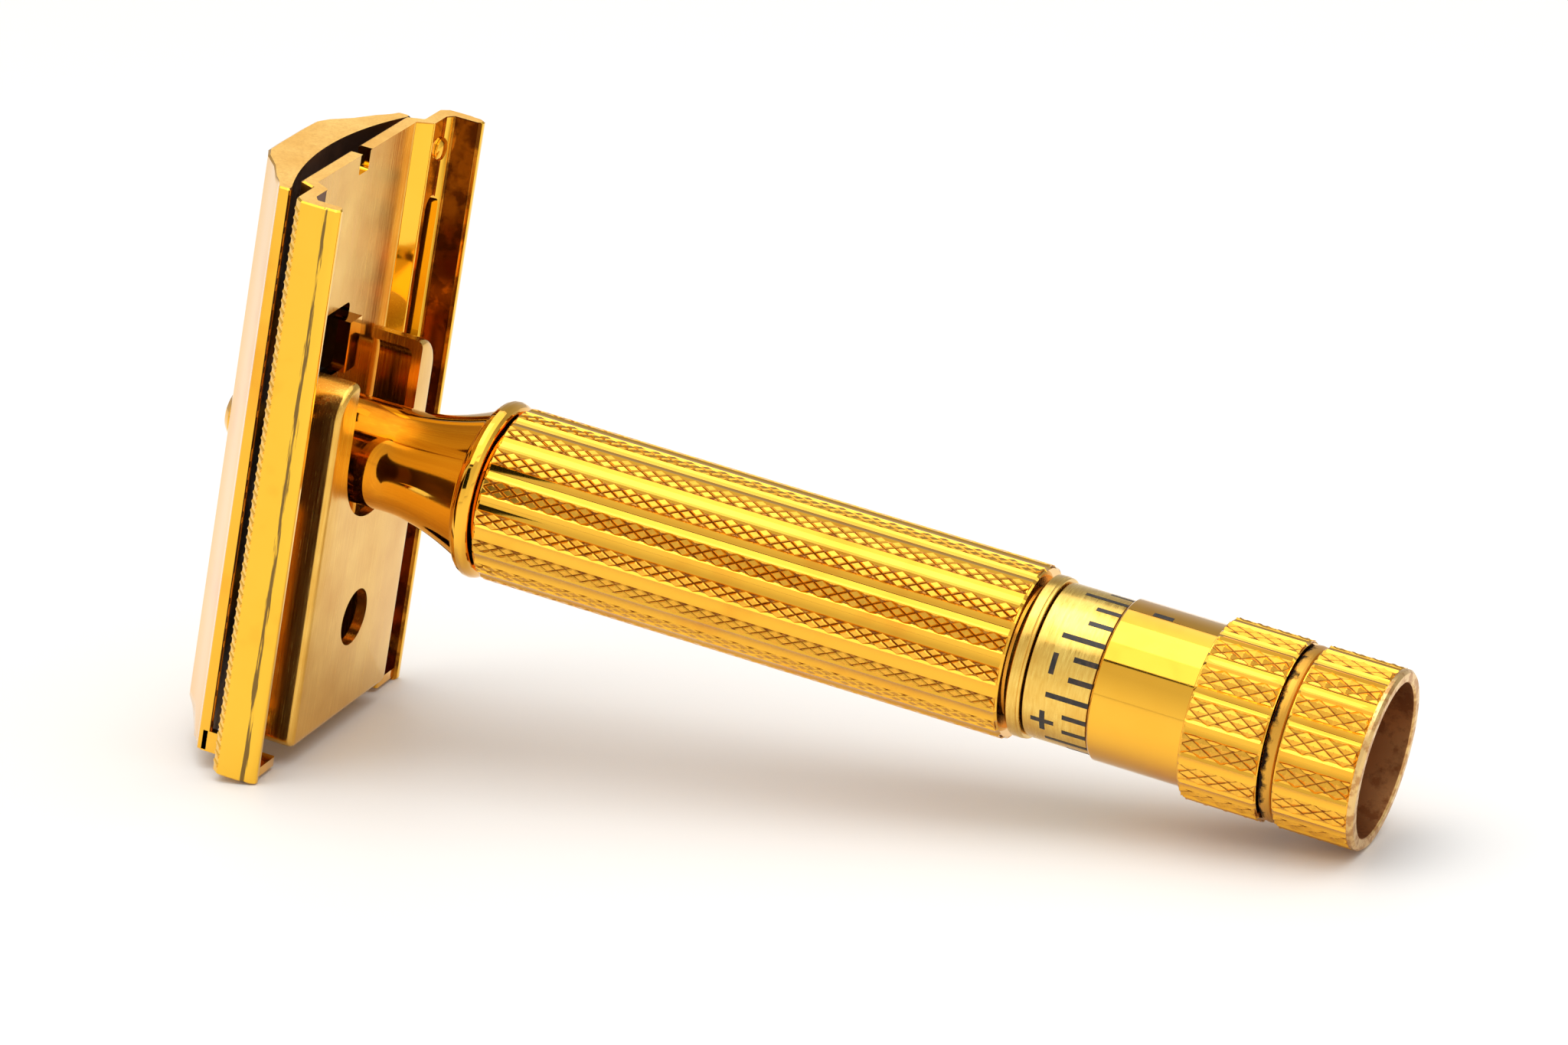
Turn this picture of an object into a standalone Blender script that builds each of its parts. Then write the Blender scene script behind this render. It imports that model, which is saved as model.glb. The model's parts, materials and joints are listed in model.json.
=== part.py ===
"""Adjustable double-edge safety razor, gold plated, laid down on a flat surface.

The razor is drawn standing in its own frame: X runs along the head's long side, Y across
the two cutting edges, and Z up the handle from the knob's open end (Z = 0) to the cap.
An empty then lays it down: it rests on the two lower corners of the guard and on the
knob's rim, with the head at -X and the knob at +X.

How it works: the cap's stud screws into a socket on the spindle. The knob at the other
end turns the spindle, so the cap rises or comes down, and the scale shows how far.
"""
import bmesh
import bpy
from math import atan2, cos, pi, sin
from mathutils import Vector

MM = 0.001

# ---- driving dimensions -------------------------------------------------------------
HANDLE = 79.5 * MM              # knob's open end to the level of the guard's edges
GUARD_LENGTH = 43.1 * MM        # a blade is 43 mm long
GUARD_WIDTH = 25.0 * MM
FLANGE_DEPTH = 3.45 * MM        # how far the guard's flanges reach down past its edges
SHEET = 0.95 * MM               # thickness of the guard plate
PLATFORM_HALF = 8.7 * MM        # half width of the raised platform the blade lies on
PLATFORM_RISE = 1.2 * MM
LEDGE_INNER = 9.3 * MM          # where the step down from the platform ends

CAP_LENGTH = 42.4 * MM
CAP_WIDTH = 20.2 * MM           # a blade is 22 mm wide, so each edge stands out 0.9 mm
CAP_SKIRT = 1.35 * MM           # height of the cap's lower edge over the guard's edges
CAP_CROWN = 6.0 * MM
CAP_HOLLOW = 3.1 * MM           # height of the cap's concave underside at its middle
CAP_END_RADIUS = 3.0 * MM

NECK_RADIUS = 3.7 * MM
BEAD_RADIUS = 6.4 * MM
GRIP_RADIUS = 6.2 * MM
COLLAR_RADIUS = 5.75 * MM
BARREL_RADIUS = 5.5 * MM
SLEEVE_RADIUS = 5.78 * MM
KNOB_RADIUS = 6.45 * MM
KNOB_BORE = 5.5 * MM

# stations along the handle, measured down from the level of the guard's edges
BEAD_TOP = 12.3 * MM
BEAD_BOTTOM = 13.8 * MM
GRIP_TOP = 14.1 * MM
GRIP_BOTTOM = 53.5 * MM
COLLAR_TOP = 53.8 * MM
BARREL_TOP = 55.1 * MM
SLEEVE_TOP = 59.9 * MM
KNURL_TOP = 66.7 * MM
GROOVE_TOP = 72.5 * MM
GROOVE_BOTTOM = 73.6 * MM
WEB_TOP = 66.5 * MM
WEB_BOTTOM = 69.4 * MM

BRACKET_HALF = 8.0 * MM         # half width of the bracket under the head
BRACKET_FOOT = -20.2 * MM
BRACKET_HORNS = 6.9 * MM
BRACKET_FACE = 4.05 * MM
BRACKET_WALL = 0.75 * MM
BRACKET_SLOT = 5.3 * MM         # half width of the slot the neck stands in

SPINDLE_RADIUS = 1.2 * MM
STUD_RADIUS = 1.45 * MM
SOCKET_RADIUS = 2.3 * MM
SOCKET_BORE = 1.52 * MM
RUNNING_GAP = 0.08 * MM         # radial play of a shaft in its bush

PIN_X = -12.5 * MM              # round locating pin, from the middle of the head
LUG_X = 7.4 * MM                # rectangular locating lug
RIVET_X = 19.2 * MM
RIVET_Y = 10.55 * MM

ROUND_STEPS = 48
SMALL_STEPS = 24

# ---- laid down: guard corners and knob rim touch the floor -----------------------------
TILT = atan2(GUARD_LENGTH / 2 - KNOB_RADIUS, HANDLE - FLANGE_DEPTH)
CORNER_X = -(CAP_LENGTH / 2 - CAP_END_RADIUS)
CORNER_Z = HANDLE + CAP_CROWN - CAP_END_RADIUS
LOWEST_X = CORNER_X * sin(TILT) - CORNER_Z * cos(TILT) - CAP_END_RADIUS
HIGHEST_X = KNOB_RADIUS * sin(TILT)
REST_X = -(LOWEST_X + HIGHEST_X) / 2
REST_Z = KNOB_RADIUS * cos(TILT)

GOLD = (0.83, 0.52, 0.11)
BRIGHT_GOLD = (0.90, 0.63, 0.20)
PALE_GOLD = (0.86, 0.66, 0.30)
BRONZE = (0.55, 0.30, 0.12)
STEEL = (0.55, 0.56, 0.58)


# ---- scene ------------------------------------------------------------------------------
def clear_scene():
    for old in list(bpy.data.objects):
        bpy.data.objects.remove(old, do_unlink=True)


def new_collection(name):
    group = bpy.data.collections.new(name)
    bpy.context.scene.collection.children.link(group)
    return group


clear_scene()
PARTS = new_collection("safety_razor")
CUTTERS = new_collection("cutters")

REST = bpy.data.objects.new("laid_down", None)
PARTS.objects.link(REST)
REST.rotation_euler = (0.0, TILT - pi / 2, 0.0)
REST.location = (REST_X, 0.0, REST_Z)


def metal(name, colour, roughness):
    finish = bpy.data.materials.new(name)
    finish.use_nodes = True
    shader = finish.node_tree.nodes["Principled BSDF"]
    shader.inputs["Base Color"].default_value = (*colour, 1.0)
    shader.inputs["Metallic"].default_value = 1.0
    shader.inputs["Roughness"].default_value = roughness
    return finish


def down(distance):
    """Height in the razor's frame of a station this far below the guard's edges."""
    return HANDLE - distance


# ---- making solids ------------------------------------------------------------------------
def place(obj, location, finish=None):
    """Put a piece in the razor's frame, or a cutter where no finish is given."""
    obj.location = location
    obj.parent = REST
    if finish is None:
        CUTTERS.objects.link(obj)
        obj.display_type = "WIRE"
        obj.hide_render = True
    else:
        PARTS.objects.link(obj)
        obj.data.materials.append(metal(obj.name, *finish))
    return obj


def turned(name, profile, z=0.0, finish=None, steps=ROUND_STEPS, closed=False, xy=(0.0, 0.0)):
    """A turned piece. The profile holds (radius, height) points down the outer side.

    A closed profile makes a ring or a tube; an open one starts and ends on the axis.
    """
    mesh = bpy.data.meshes.new(name)
    edges = [(i, i + 1) for i in range(len(profile) - 1)]
    if closed:
        edges.append((len(profile) - 1, 0))
    mesh.from_pydata([(r, 0.0, h) for r, h in profile], edges, [])
    obj = place(bpy.data.objects.new(name, mesh), (*xy, z), finish)
    screw = obj.modifiers.new("turned", "SCREW")
    screw.axis = "Z"
    screw.steps = steps
    screw.render_steps = steps
    screw.use_merge_vertices = True
    screw.merge_threshold = 0.00001
    screw.use_smooth_shade = True
    return obj


def cylinder_profile(radius, top, bottom, chamfer=0.0):
    if chamfer == 0.0:
        return [(0.0, top), (radius, top), (radius, bottom), (0.0, bottom)]
    return [(0.0, top), (radius - chamfer, top), (radius, top - chamfer),
            (radius, bottom + chamfer), (radius - chamfer, bottom), (0.0, bottom)]


def tube_profile(outer, inner, top, bottom, chamfer=0.0):
    if chamfer == 0.0:
        return [(outer, top), (outer, bottom), (inner, bottom), (inner, top)]
    return [(outer - chamfer, top), (outer, top - chamfer), (outer, bottom + chamfer),
            (outer - chamfer, bottom), (inner, bottom), (inner, top)]


def block(name, low, high, finish=None):
    """A box between two corners, with its origin at the middle."""
    low, high = Vector(low), Vector(high)
    mesh = bpy.data.meshes.new(name)
    body = bmesh.new()
    bmesh.ops.create_cube(body, size=1.0)
    bmesh.ops.scale(body, vec=high - low, verts=body.verts)
    body.to_mesh(mesh)
    body.free()
    return place(bpy.data.objects.new(name, mesh), (low + high) / 2, finish)


def prism(name, outline, axis, low, high, finish=None):
    """A flat outline pushed from low to high along X, Y or Z.

    The outline's points are the two other coordinates, in X, Y, Z order.
    """
    curve = bpy.data.curves.new(name, "CURVE")
    curve.dimensions = "2D"
    curve.fill_mode = "BOTH"
    curve.extrude = (high - low) / 2
    spline = curve.splines.new("POLY")
    spline.points.add(len(outline) - 1)
    for point, (u, v) in zip(spline.points, outline):
        point.co = (u, v, 0.0, 1.0)
    spline.use_cyclic_u = True
    drawn = bpy.data.objects.new(name + "_drawn", curve)
    bpy.context.scene.collection.objects.link(drawn)
    graph = bpy.context.evaluated_depsgraph_get()
    mesh = bpy.data.meshes.new_from_object(drawn.evaluated_get(graph))
    mesh.name = name
    bpy.data.objects.remove(drawn, do_unlink=True)
    body = bmesh.new()
    body.from_mesh(mesh)
    bmesh.ops.remove_doubles(body, verts=body.verts, dist=0.000001)
    order = {"X": (2, 0, 1), "Y": (0, 2, 1), "Z": (0, 1, 2)}[axis]
    for vert in body.verts:
        flat = vert.co.copy()
        vert.co = [flat[order[i]] for i in range(3)]
    if body.calc_volume(signed=True) < 0:
        bmesh.ops.reverse_faces(body, faces=body.faces)
    body.to_mesh(mesh)
    body.free()
    centre = {"X": (1, 0, 0), "Y": (0, 1, 0), "Z": (0, 0, 1)}[axis]
    middle = (low + high) / 2
    mesh.materials.clear()
    obj = bpy.data.objects.new(name, mesh)
    return place(obj, tuple(middle * c for c in centre), finish)


def arc(centre, radius, start, end, count):
    """Points on a circle from one angle to another, both ends included."""
    angles = [start + (end - start) * i / (count - 1) for i in range(count)]
    return [(centre[0] + radius * cos(t), centre[1] + radius * sin(t)) for t in angles]


def boolean(obj, cutter, operation="DIFFERENCE"):
    step = obj.modifiers.new(cutter.name, "BOOLEAN")
    step.operation = operation
    step.object = cutter
    step.solver = "EXACT"


def drill(obj, name, radius, x, y, top, bottom, steps=SMALL_STEPS):
    boolean(obj, turned(name, cylinder_profile(radius, top, bottom), steps=steps, xy=(x, y)))


# ---- head: guard plate, bracket, rivet -------------------------------------------------------
def guard_plate():
    """Pressed sheet: a raised platform, a ledge at each side, and a flange down each edge."""
    half_width = GUARD_WIDTH / 2
    corner = 0.65 * MM
    half = [(PLATFORM_HALF, down(-PLATFORM_RISE)), (LEDGE_INNER, down(0.0)),
            (half_width - corner, down(0.0)), (half_width, down(corner)),
            (half_width, down(FLANGE_DEPTH))]
    section = [(-y, z) for y, z in reversed(half)] + half
    body = bmesh.new()
    ends = [[body.verts.new((x, y, z - HANDLE)) for y, z in section]
            for x in (-GUARD_LENGTH / 2, GUARD_LENGTH / 2)]
    for i in range(len(section) - 1):
        body.faces.new((ends[0][i], ends[1][i], ends[1][i + 1], ends[0][i + 1]))
    mesh = bpy.data.meshes.new("guard_plate")
    body.to_mesh(mesh)
    body.free()
    plate = place(bpy.data.objects.new("guard_plate", mesh), (0.0, 0.0, HANDLE),
                  (BRIGHT_GOLD, 0.25))
    sheet = plate.modifiers.new("sheet", "SOLIDIFY")
    sheet.thickness = SHEET
    sheet.offset = -1.0
    sheet.use_even_offset = True

    web_low, web_high = -21.3 * MM, -20.6 * MM
    slot_inner, slot_outer = 9.6 * MM, 11.3 * MM
    for side, tag in ((-1, "near"), (1, "far")):
        web = block("end_web_" + tag,
                    (web_low, min(side * 8.6 * MM, side * 11.9 * MM), down(3.2 * MM)),
                    (web_high, max(side * 8.6 * MM, side * 11.9 * MM), down(0.6 * MM)))
        boolean(plate, web, "UNION")
        for start, end, place_name in ((3.9 * MM, 15.7 * MM, "upper"),
                                       (-20.3 * MM, -3.0 * MM, "lower")):
            middle = side * (slot_inner + slot_outer) / 2
            radius = (slot_outer - slot_inner) / 2
            outline = (arc((end - radius, middle), radius, -pi / 2, pi / 2, 7)
                       + arc((start + radius, middle), radius, pi / 2, 3 * pi / 2, 7))
            boolean(plate, prism("lather_slot_%s_%s" % (place_name, tag), outline, "Z",
                                 down(4 * MM), down(-3 * MM)))
    boolean(plate, block("window", (4.8 * MM, -3.8 * MM, down(2 * MM)),
                         (10.0 * MM, 1.2 * MM, down(-3 * MM))))
    boolean(plate, block("end_notch", (GUARD_LENGTH / 2 - 1.6 * MM, -0.8 * MM, down(2 * MM)),
                         (GUARD_LENGTH / 2 + 1.0 * MM, 0.8 * MM, down(-3 * MM))))
    drill(plate, "stud_hole", 1.8 * MM, 0.0, 0.0, down(-3 * MM), down(2 * MM))
    drill(plate, "pin_hole", 1.9 * MM, PIN_X, 0.0, down(-3 * MM), down(2 * MM))
    drill(plate, "rivet_hole", 0.62 * MM, RIVET_X, RIVET_Y, down(-3 * MM), down(2 * MM), 16)
    return plate


def head_bracket():
    """A shallow tray under the plate. Its two horns stand either side of the neck."""
    finish = (PALE_GOLD, 0.35)
    foot_r, horn_r = 0.8 * MM, 2.4 * MM

    def outline(inset):
        y = BRACKET_HALF - inset
        x0, x1 = BRACKET_FOOT + inset, BRACKET_HORNS - inset
        f, h = max(foot_r - inset, 0.1 * MM), max(horn_r - inset, 0.1 * MM)
        return (arc((x1 - h, y - h), h, 0.0, pi / 2, 7)
                + arc((x0 + f, y - f), f, pi / 2, pi, 4)
                + arc((x0 + f, -y + f), f, pi, 3 * pi / 2, 4)
                + arc((x1 - h, -y + h), h, -pi / 2, 0.0, 7))

    tray = prism("head_bracket", outline(0.0), "Z", down(BRACKET_FACE), down(0.05 * MM), finish)
    boolean(tray, prism("tray_inside", outline(BRACKET_WALL), "Z",
                        down(BRACKET_FACE - BRACKET_WALL), down(-1 * MM)))
    slot_centre = 0.8 * MM
    slot = (arc((slot_centre, 0.0), BRACKET_SLOT, pi / 2, 3 * pi / 2, 13)
            + [(9 * MM, -BRACKET_SLOT), (9 * MM, BRACKET_SLOT)])
    boolean(tray, prism("neck_slot", slot, "Z", down(5 * MM), down(-2 * MM)))
    drill(tray, "bracket_hole", 2.1 * MM, PIN_X, 0.0, down(2.5 * MM), down(5 * MM))
    return tray


def guard_rivet():
    shank, head = 0.52 * MM, 0.85 * MM
    under = down(SHEET)
    profile = [(0.0, down(0.2 * MM)), (shank, down(0.2 * MM)), (shank, under - 0.05 * MM),
               (head, under - 0.05 * MM), (head, under - 0.2 * MM),
               (head * 0.6, under - 0.4 * MM), (0.0, under - 0.45 * MM)]
    return turned("guard_rivet", profile, finish=(GOLD, 0.3), steps=16, xy=(RIVET_X, RIVET_Y))


# ---- cap and what is fixed to it ---------------------------------------------------------------
def cap():
    """Thick cap: arched underside, steep flanks with a shallow cove, and a flat crown."""
    half = CAP_WIDTH / 2
    side = [(3.6 * MM, CAP_CROWN), (4.9 * MM, CAP_CROWN - 0.5 * MM), (6.4 * MM, 4.25 * MM),
            (8.3 * MM, 3.3 * MM), (half - 0.2 * MM, 2.35 * MM), (half, 2.1 * MM),
            (half, CAP_SKIRT)]
    rise = CAP_HOLLOW - CAP_SKIRT
    chord = half - 0.4 * MM
    radius = (chord ** 2 + rise ** 2) / (2 * rise)
    reach = atan2(chord, radius - rise)
    under = arc((0.0, CAP_HOLLOW - radius), radius, pi / 2 - reach, pi / 2 + reach, 13)
    outline = ([(-y, h) for y, h in side] + under[::-1] + side[::-1])
    outline = [(y, HANDLE + h) for y, h in outline]
    body = prism("cap", outline, "X", -CAP_LENGTH / 2, CAP_LENGTH / 2, (BRIGHT_GOLD, 0.2))

    # the lower end's crown is rounded over
    end, top, r = -CAP_LENGTH / 2, HANDLE + CAP_CROWN, CAP_END_RADIUS
    waste = arc((end + r, top - r), r, pi / 2, pi, 9) + [(end - MM, top - r), (end - MM, top + MM),
                                                        (end + r, top + MM)]
    boolean(body, prism("crown_rounding", waste, "Y", -half - MM, half + MM))

    # two feet at the lower end reach down to the guard's ledges
    for tag, low, high in (("near", -half, -half + 0.65 * MM), ("far", half - 0.65 * MM, half)):
        foot = block("cap_foot_" + tag, (end, low, HANDLE + 0.4 * MM),
                     (end + 1.55 * MM, high, HANDLE + 2.0 * MM))
        boolean(body, foot, "UNION")
    drill(body, "cap_stud_hole", STUD_RADIUS + 0.12 * MM, 0.0, 0.0, HANDLE + 8 * MM, HANDLE)
    drill(body, "cap_pin_hole", 1.12 * MM, PIN_X, 0.0, HANDLE + 4.6 * MM, HANDLE)
    boolean(body, block("cap_lug_hole",
                        (LUG_X - 1.3 * MM, -0.72 * MM, HANDLE),
                        (LUG_X + 1.3 * MM, 0.72 * MM, HANDLE + 4.6 * MM)))
    return body


def cap_stud():
    """Threaded stud riveted over in a dome on the crown; it screws into the socket."""
    crown = CAP_CROWN + 0.05 * MM
    dome_r, dome_h = 2.3 * MM, 1.65 * MM
    dome = [(dome_r * cos(t), crown + dome_h * sin(t)) for t in (pi / 2.6, pi / 4, pi / 8, 0.0)]
    profile = ([(0.0, crown + dome_h)] + dome + [(STUD_RADIUS, crown),
               (STUD_RADIUS, -8.6 * MM), (STUD_RADIUS - 0.4 * MM, -9.0 * MM), (0.0, -9.0 * MM)])
    return turned("cap_stud", profile, z=HANDLE, finish=(GOLD, 0.3), steps=SMALL_STEPS)


def locating_pin():
    profile = [(0.0, 4.3 * MM), (MM, 4.3 * MM), (MM, 2.9 * MM), (1.6 * MM, 2.9 * MM),
               (1.6 * MM, -0.5 * MM), (1.2 * MM, -0.9 * MM), (0.0, -0.9 * MM)]
    return turned("locating_pin", profile, z=HANDLE, finish=(GOLD, 0.35), steps=SMALL_STEPS,
                  xy=(PIN_X, 0.0))


def locating_lug():
    """Flat lug through the blade's slot, with a narrower tenon up in the cap."""
    lug = block("locating_lug", (LUG_X - 1.9 * MM, -0.95 * MM, HANDLE - 0.9 * MM),
                (LUG_X + 1.9 * MM, 0.95 * MM, HANDLE + 2.8 * MM), (GOLD, 0.35))
    tenon = block("lug_tenon", (LUG_X - 1.15 * MM, -0.58 * MM, HANDLE + 2.0 * MM),
                  (LUG_X + 1.15 * MM, 0.58 * MM, HANDLE + 4.3 * MM))
    boolean(lug, tenon, "UNION")
    return lug


# ---- handle ---------------------------------------------------------------------------------------
def neck():
    """Trumpet neck with a bead, and a spigot that is pressed into the grip."""
    flare = []
    for i in range(7):
        t = i / 6
        flare.append((NECK_RADIUS + 1.95 * MM * t ** 1.7, down(6.6 * MM + 5.6 * MM * t)))
    bead_mid = down((BEAD_TOP + BEAD_BOTTOM) / 2)
    bead_half = (BEAD_BOTTOM - BEAD_TOP) / 2
    bead = [(BEAD_RADIUS - 0.75 * MM + 0.75 * MM * cos(t), bead_mid + bead_half * sin(t))
            for t in (1.2, 0.7, 0.0, -0.7, -1.2)]
    spigot, bore, bush_seat = 4.6 * MM, 2.6 * MM, 18.2 * MM
    profile = ([(NECK_RADIUS, down(0.1 * MM))] + flare + bead
               + [(spigot, bead[-1][1]), (spigot, down(bush_seat)),
                  (bore, down(bush_seat)), (bore, down(0.1 * MM))])
    return turned("neck", profile, finish=(BRIGHT_GOLD, 0.15), closed=True)


def grip_tube():
    chamfer = 0.25 * MM
    profile = tube_profile(GRIP_RADIUS, 4.75 * MM, down(GRIP_TOP), down(GRIP_BOTTOM), chamfer)
    return turned("grip_tube", profile, finish=(GOLD, 0.4), closed=True)


def lower_collar():
    """Smooth collar that closes the grip, with a spigot up inside it."""
    top, rim, bottom = down(49.8 * MM), down(COLLAR_TOP), down(BARREL_TOP - 0.1 * MM)
    spigot, bore = 4.6 * MM, 1.95 * MM
    profile = [(spigot, top), (spigot, rim), (COLLAR_RADIUS - 0.15 * MM, rim),
               (COLLAR_RADIUS, rim - 0.15 * MM), (COLLAR_RADIUS, bottom), (bore, bottom),
               (bore, top)]
    return turned("lower_collar", profile, finish=(PALE_GOLD, 0.2), closed=True)


def scale_barrel():
    """Barrel that carries the scale; its lower part runs inside the knob's sleeve."""
    top, shoulder, bottom = down(BARREL_TOP), down(SLEEVE_TOP - 0.1 * MM), down(65.6 * MM)
    inner, bore = 5.05 * MM, 3.6 * MM
    profile = [(BARREL_RADIUS, top), (BARREL_RADIUS, shoulder), (inner, shoulder),
               (inner, bottom), (bore, bottom), (bore, top)]
    return turned("scale_barrel", profile, finish=(PALE_GOLD, 0.3), closed=True)


def bush(name, outer, top, bottom):
    bore = SPINDLE_RADIUS + RUNNING_GAP
    profile = tube_profile(outer, bore, down(top), down(bottom))
    return turned(name, profile, finish=(BRONZE, 0.45), steps=32, closed=True)


# ---- turning parts -----------------------------------------------------------------------------------
def adjusting_knob():
    """Sleeve, knurled body and hollow end in one turned piece, with a web for the spindle."""
    sleeve_bore, web_bore = 5.15 * MM, SPINDLE_RADIUS + 0.1 * MM
    groove = KNOB_RADIUS - 0.75 * MM
    step = 0.12 * MM
    profile = [(sleeve_bore, down(SLEEVE_TOP)), (SLEEVE_RADIUS - step, down(SLEEVE_TOP)),
               (SLEEVE_RADIUS, down(SLEEVE_TOP + step)), (SLEEVE_RADIUS, down(KNURL_TOP)),
               (KNOB_RADIUS - step, down(KNURL_TOP)), (KNOB_RADIUS, down(KNURL_TOP + step)),
               (KNOB_RADIUS, down(GROOVE_TOP)), (groove, down(GROOVE_TOP)),
               (groove, down(GROOVE_BOTTOM)), (KNOB_RADIUS, down(GROOVE_BOTTOM)),
               (KNOB_RADIUS, down(HANDLE)), (KNOB_BORE, down(HANDLE)),
               (KNOB_BORE, down(WEB_BOTTOM)), (web_bore, down(WEB_BOTTOM)),
               (web_bore, down(WEB_TOP)), (sleeve_bore, down(WEB_TOP))]
    return turned("adjusting_knob", profile, finish=(GOLD, 0.35), closed=True)


def wire_ring(name, centre_radius, wire, z, gap, finish):
    """A round wire bent to a split ring."""
    curve = bpy.data.curves.new(name, "CURVE")
    curve.dimensions = "3D"
    curve.bevel_depth = wire
    curve.bevel_resolution = 2
    curve.use_fill_caps = True
    spline = curve.splines.new("POLY")
    count = 32
    spline.points.add(count - 1)
    for i, point in enumerate(spline.points):
        t = gap + (2 * pi - 2 * gap) * i / (count - 1)
        point.co = (centre_radius * cos(t), centre_radius * sin(t), 0.0, 1.0)
    obj = bpy.data.objects.new(name, curve)
    return place(obj, (0.0, 0.0, z), finish)


def drive_spindle():
    top, bottom = 11.9 * MM, 69.1 * MM
    profile = cylinder_profile(SPINDLE_RADIUS, down(top), down(bottom), 0.15 * MM)
    rod = turned("drive_spindle", profile, finish=(STEEL, 0.35), steps=SMALL_STEPS)
    drill(rod, "spindle_tapping", 0.75 * MM, 0.0, 0.0, down(64.6 * MM), down(bottom + MM), 16)
    cross = prism("spindle_cross_hole", arc((0.0, down(13.0 * MM)), 0.5 * MM, 0.0, 1.75 * pi, 8),
                  "Y", -3 * MM, 3 * MM)
    boolean(rod, cross)
    return rod


def threaded_socket():
    """Tapped socket on top of the spindle; the cap's stud screws down into it."""
    profile = cylinder_profile(SOCKET_RADIUS, down(1.5 * MM), down(14.2 * MM), 0.2 * MM)
    socket = turned("threaded_socket", profile, finish=(BRONZE, 0.35), steps=SMALL_STEPS)
    drill(socket, "socket_thread", SOCKET_BORE, 0.0, 0.0, down(0.0), down(11.0 * MM))
    drill(socket, "socket_seat", SPINDLE_RADIUS + 0.1 * MM, 0.0, 0.0, down(11.6 * MM),
          down(15 * MM))
    cross = prism("socket_cross_hole", arc((0.0, down(13.0 * MM)), 0.5 * MM, 0.0, 1.75 * pi, 8),
                  "Y", -3 * MM, 3 * MM)
    boolean(socket, cross)
    return socket


def cross_pin():
    pin = prism("cross_pin", arc((0.0, down(13.0 * MM)), 0.38 * MM, 0.0, 1.75 * pi, 8),
                "Y", -2.1 * MM, 2.1 * MM, (STEEL, 0.4))
    return pin


def tension_spring():
    """Coil spring round the spindle that keeps the thread from working loose."""
    name, turns, per_turn = "tension_spring", 8, 12
    curve = bpy.data.curves.new(name, "CURVE")
    curve.dimensions = "3D"
    curve.bevel_depth = 0.3 * MM
    curve.bevel_resolution = 2
    curve.use_fill_caps = True
    spline = curve.splines.new("POLY")
    count = turns * per_turn
    top, bottom, radius = down(22.0 * MM), down(34.0 * MM), 2.5 * MM
    spline.points.add(count - 1)
    for i, point in enumerate(spline.points):
        t = i / (count - 1)
        angle = 2 * pi * turns * t
        point.co = (radius * cos(angle), radius * sin(angle), top + (bottom - top) * t, 1.0)
    return place(bpy.data.objects.new(name, curve), (0.0, 0.0, 0.0), (STEEL, 0.35))


def washer(name, outer, inner, top, thickness, colour):
    profile = tube_profile(outer, inner, down(top), down(top + thickness))
    return turned(name, profile, finish=(colour, 0.4), steps=32, closed=True)


def knob_screw():
    """Slotted screw in the hollow end, which holds the knob on the spindle."""
    head, shank = 2.2 * MM, 0.62 * MM
    top, seat, end = down(65.0 * MM), down(70.0 * MM), down(71.3 * MM)
    profile = [(0.0, top), (shank, top), (shank, seat), (head, seat),
               (head, end + 0.3 * MM), (head - 0.4 * MM, end), (0.0, end)]
    screw = turned("knob_screw", profile, finish=(STEEL, 0.35), steps=SMALL_STEPS)
    boolean(screw, block("screw_slot", (-0.3 * MM, -3 * MM, end - MM),
                         (0.3 * MM, 3 * MM, end + 0.6 * MM)))
    return screw


# ---- build ----------------------------------------------------------------------------------------------
guard_plate()
head_bracket()
guard_rivet()
neck()
grip_tube()
lower_collar()
scale_barrel()
bush("upper_bush", 4.6 * MM, 18.5 * MM, 21.3 * MM)
bush("lower_bush", 1.85 * MM, 50.0 * MM, 54.8 * MM)

cap()
cap_stud()
locating_pin()
locating_lug()

adjusting_knob()
wire_ring("groove_ring", 6.05 * MM, 0.3 * MM, down((GROOVE_TOP + GROOVE_BOTTOM) / 2), 0.06,
          (BRONZE, 0.5))
drive_spindle()
threaded_socket()
cross_pin()
tension_spring()
washer("spring_seat", 3.2 * MM, SPINDLE_RADIUS + 0.1 * MM, 34.7 * MM, 0.5 * MM, BRONZE)
wire_ring("spring_clip", 1.62 * MM, 0.3 * MM, down(35.9 * MM), 0.5, (STEEL, 0.4))
washer("thrust_washer", 4.8 * MM, SPINDLE_RADIUS + 0.1 * MM, 65.8 * MM, 0.4 * MM, BRONZE)
knob_screw()
washer("knob_washer", 2.8 * MM, 0.8 * MM, 69.55 * MM, 0.3 * MM, STEEL)
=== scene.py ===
# %% [markdown]
# # A gold-plated adjustable safety razor, laid down
#
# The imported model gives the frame: where each node is, which body it moves with and where
# the joints are. This lesson makes the surfaces on top of it. A razor like this is turned and
# pressed brass: round pieces from a lathe, a head pressed from sheet, and knurling rolled in
# by cutting wheels. Then all of it is plated with gold.
#
# Every length below is in millimetres and in the razor's own frame: X along the head, Y across
# its two edges, Z up the handle from the knob's rim. One matrix lays each piece down.

# %% Load the frame
import json
from functools import partial
from math import atan2, ceil, cos, pi, radians, sin, tan

import bmesh
import bpy
from mathutils import Matrix, Vector


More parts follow.
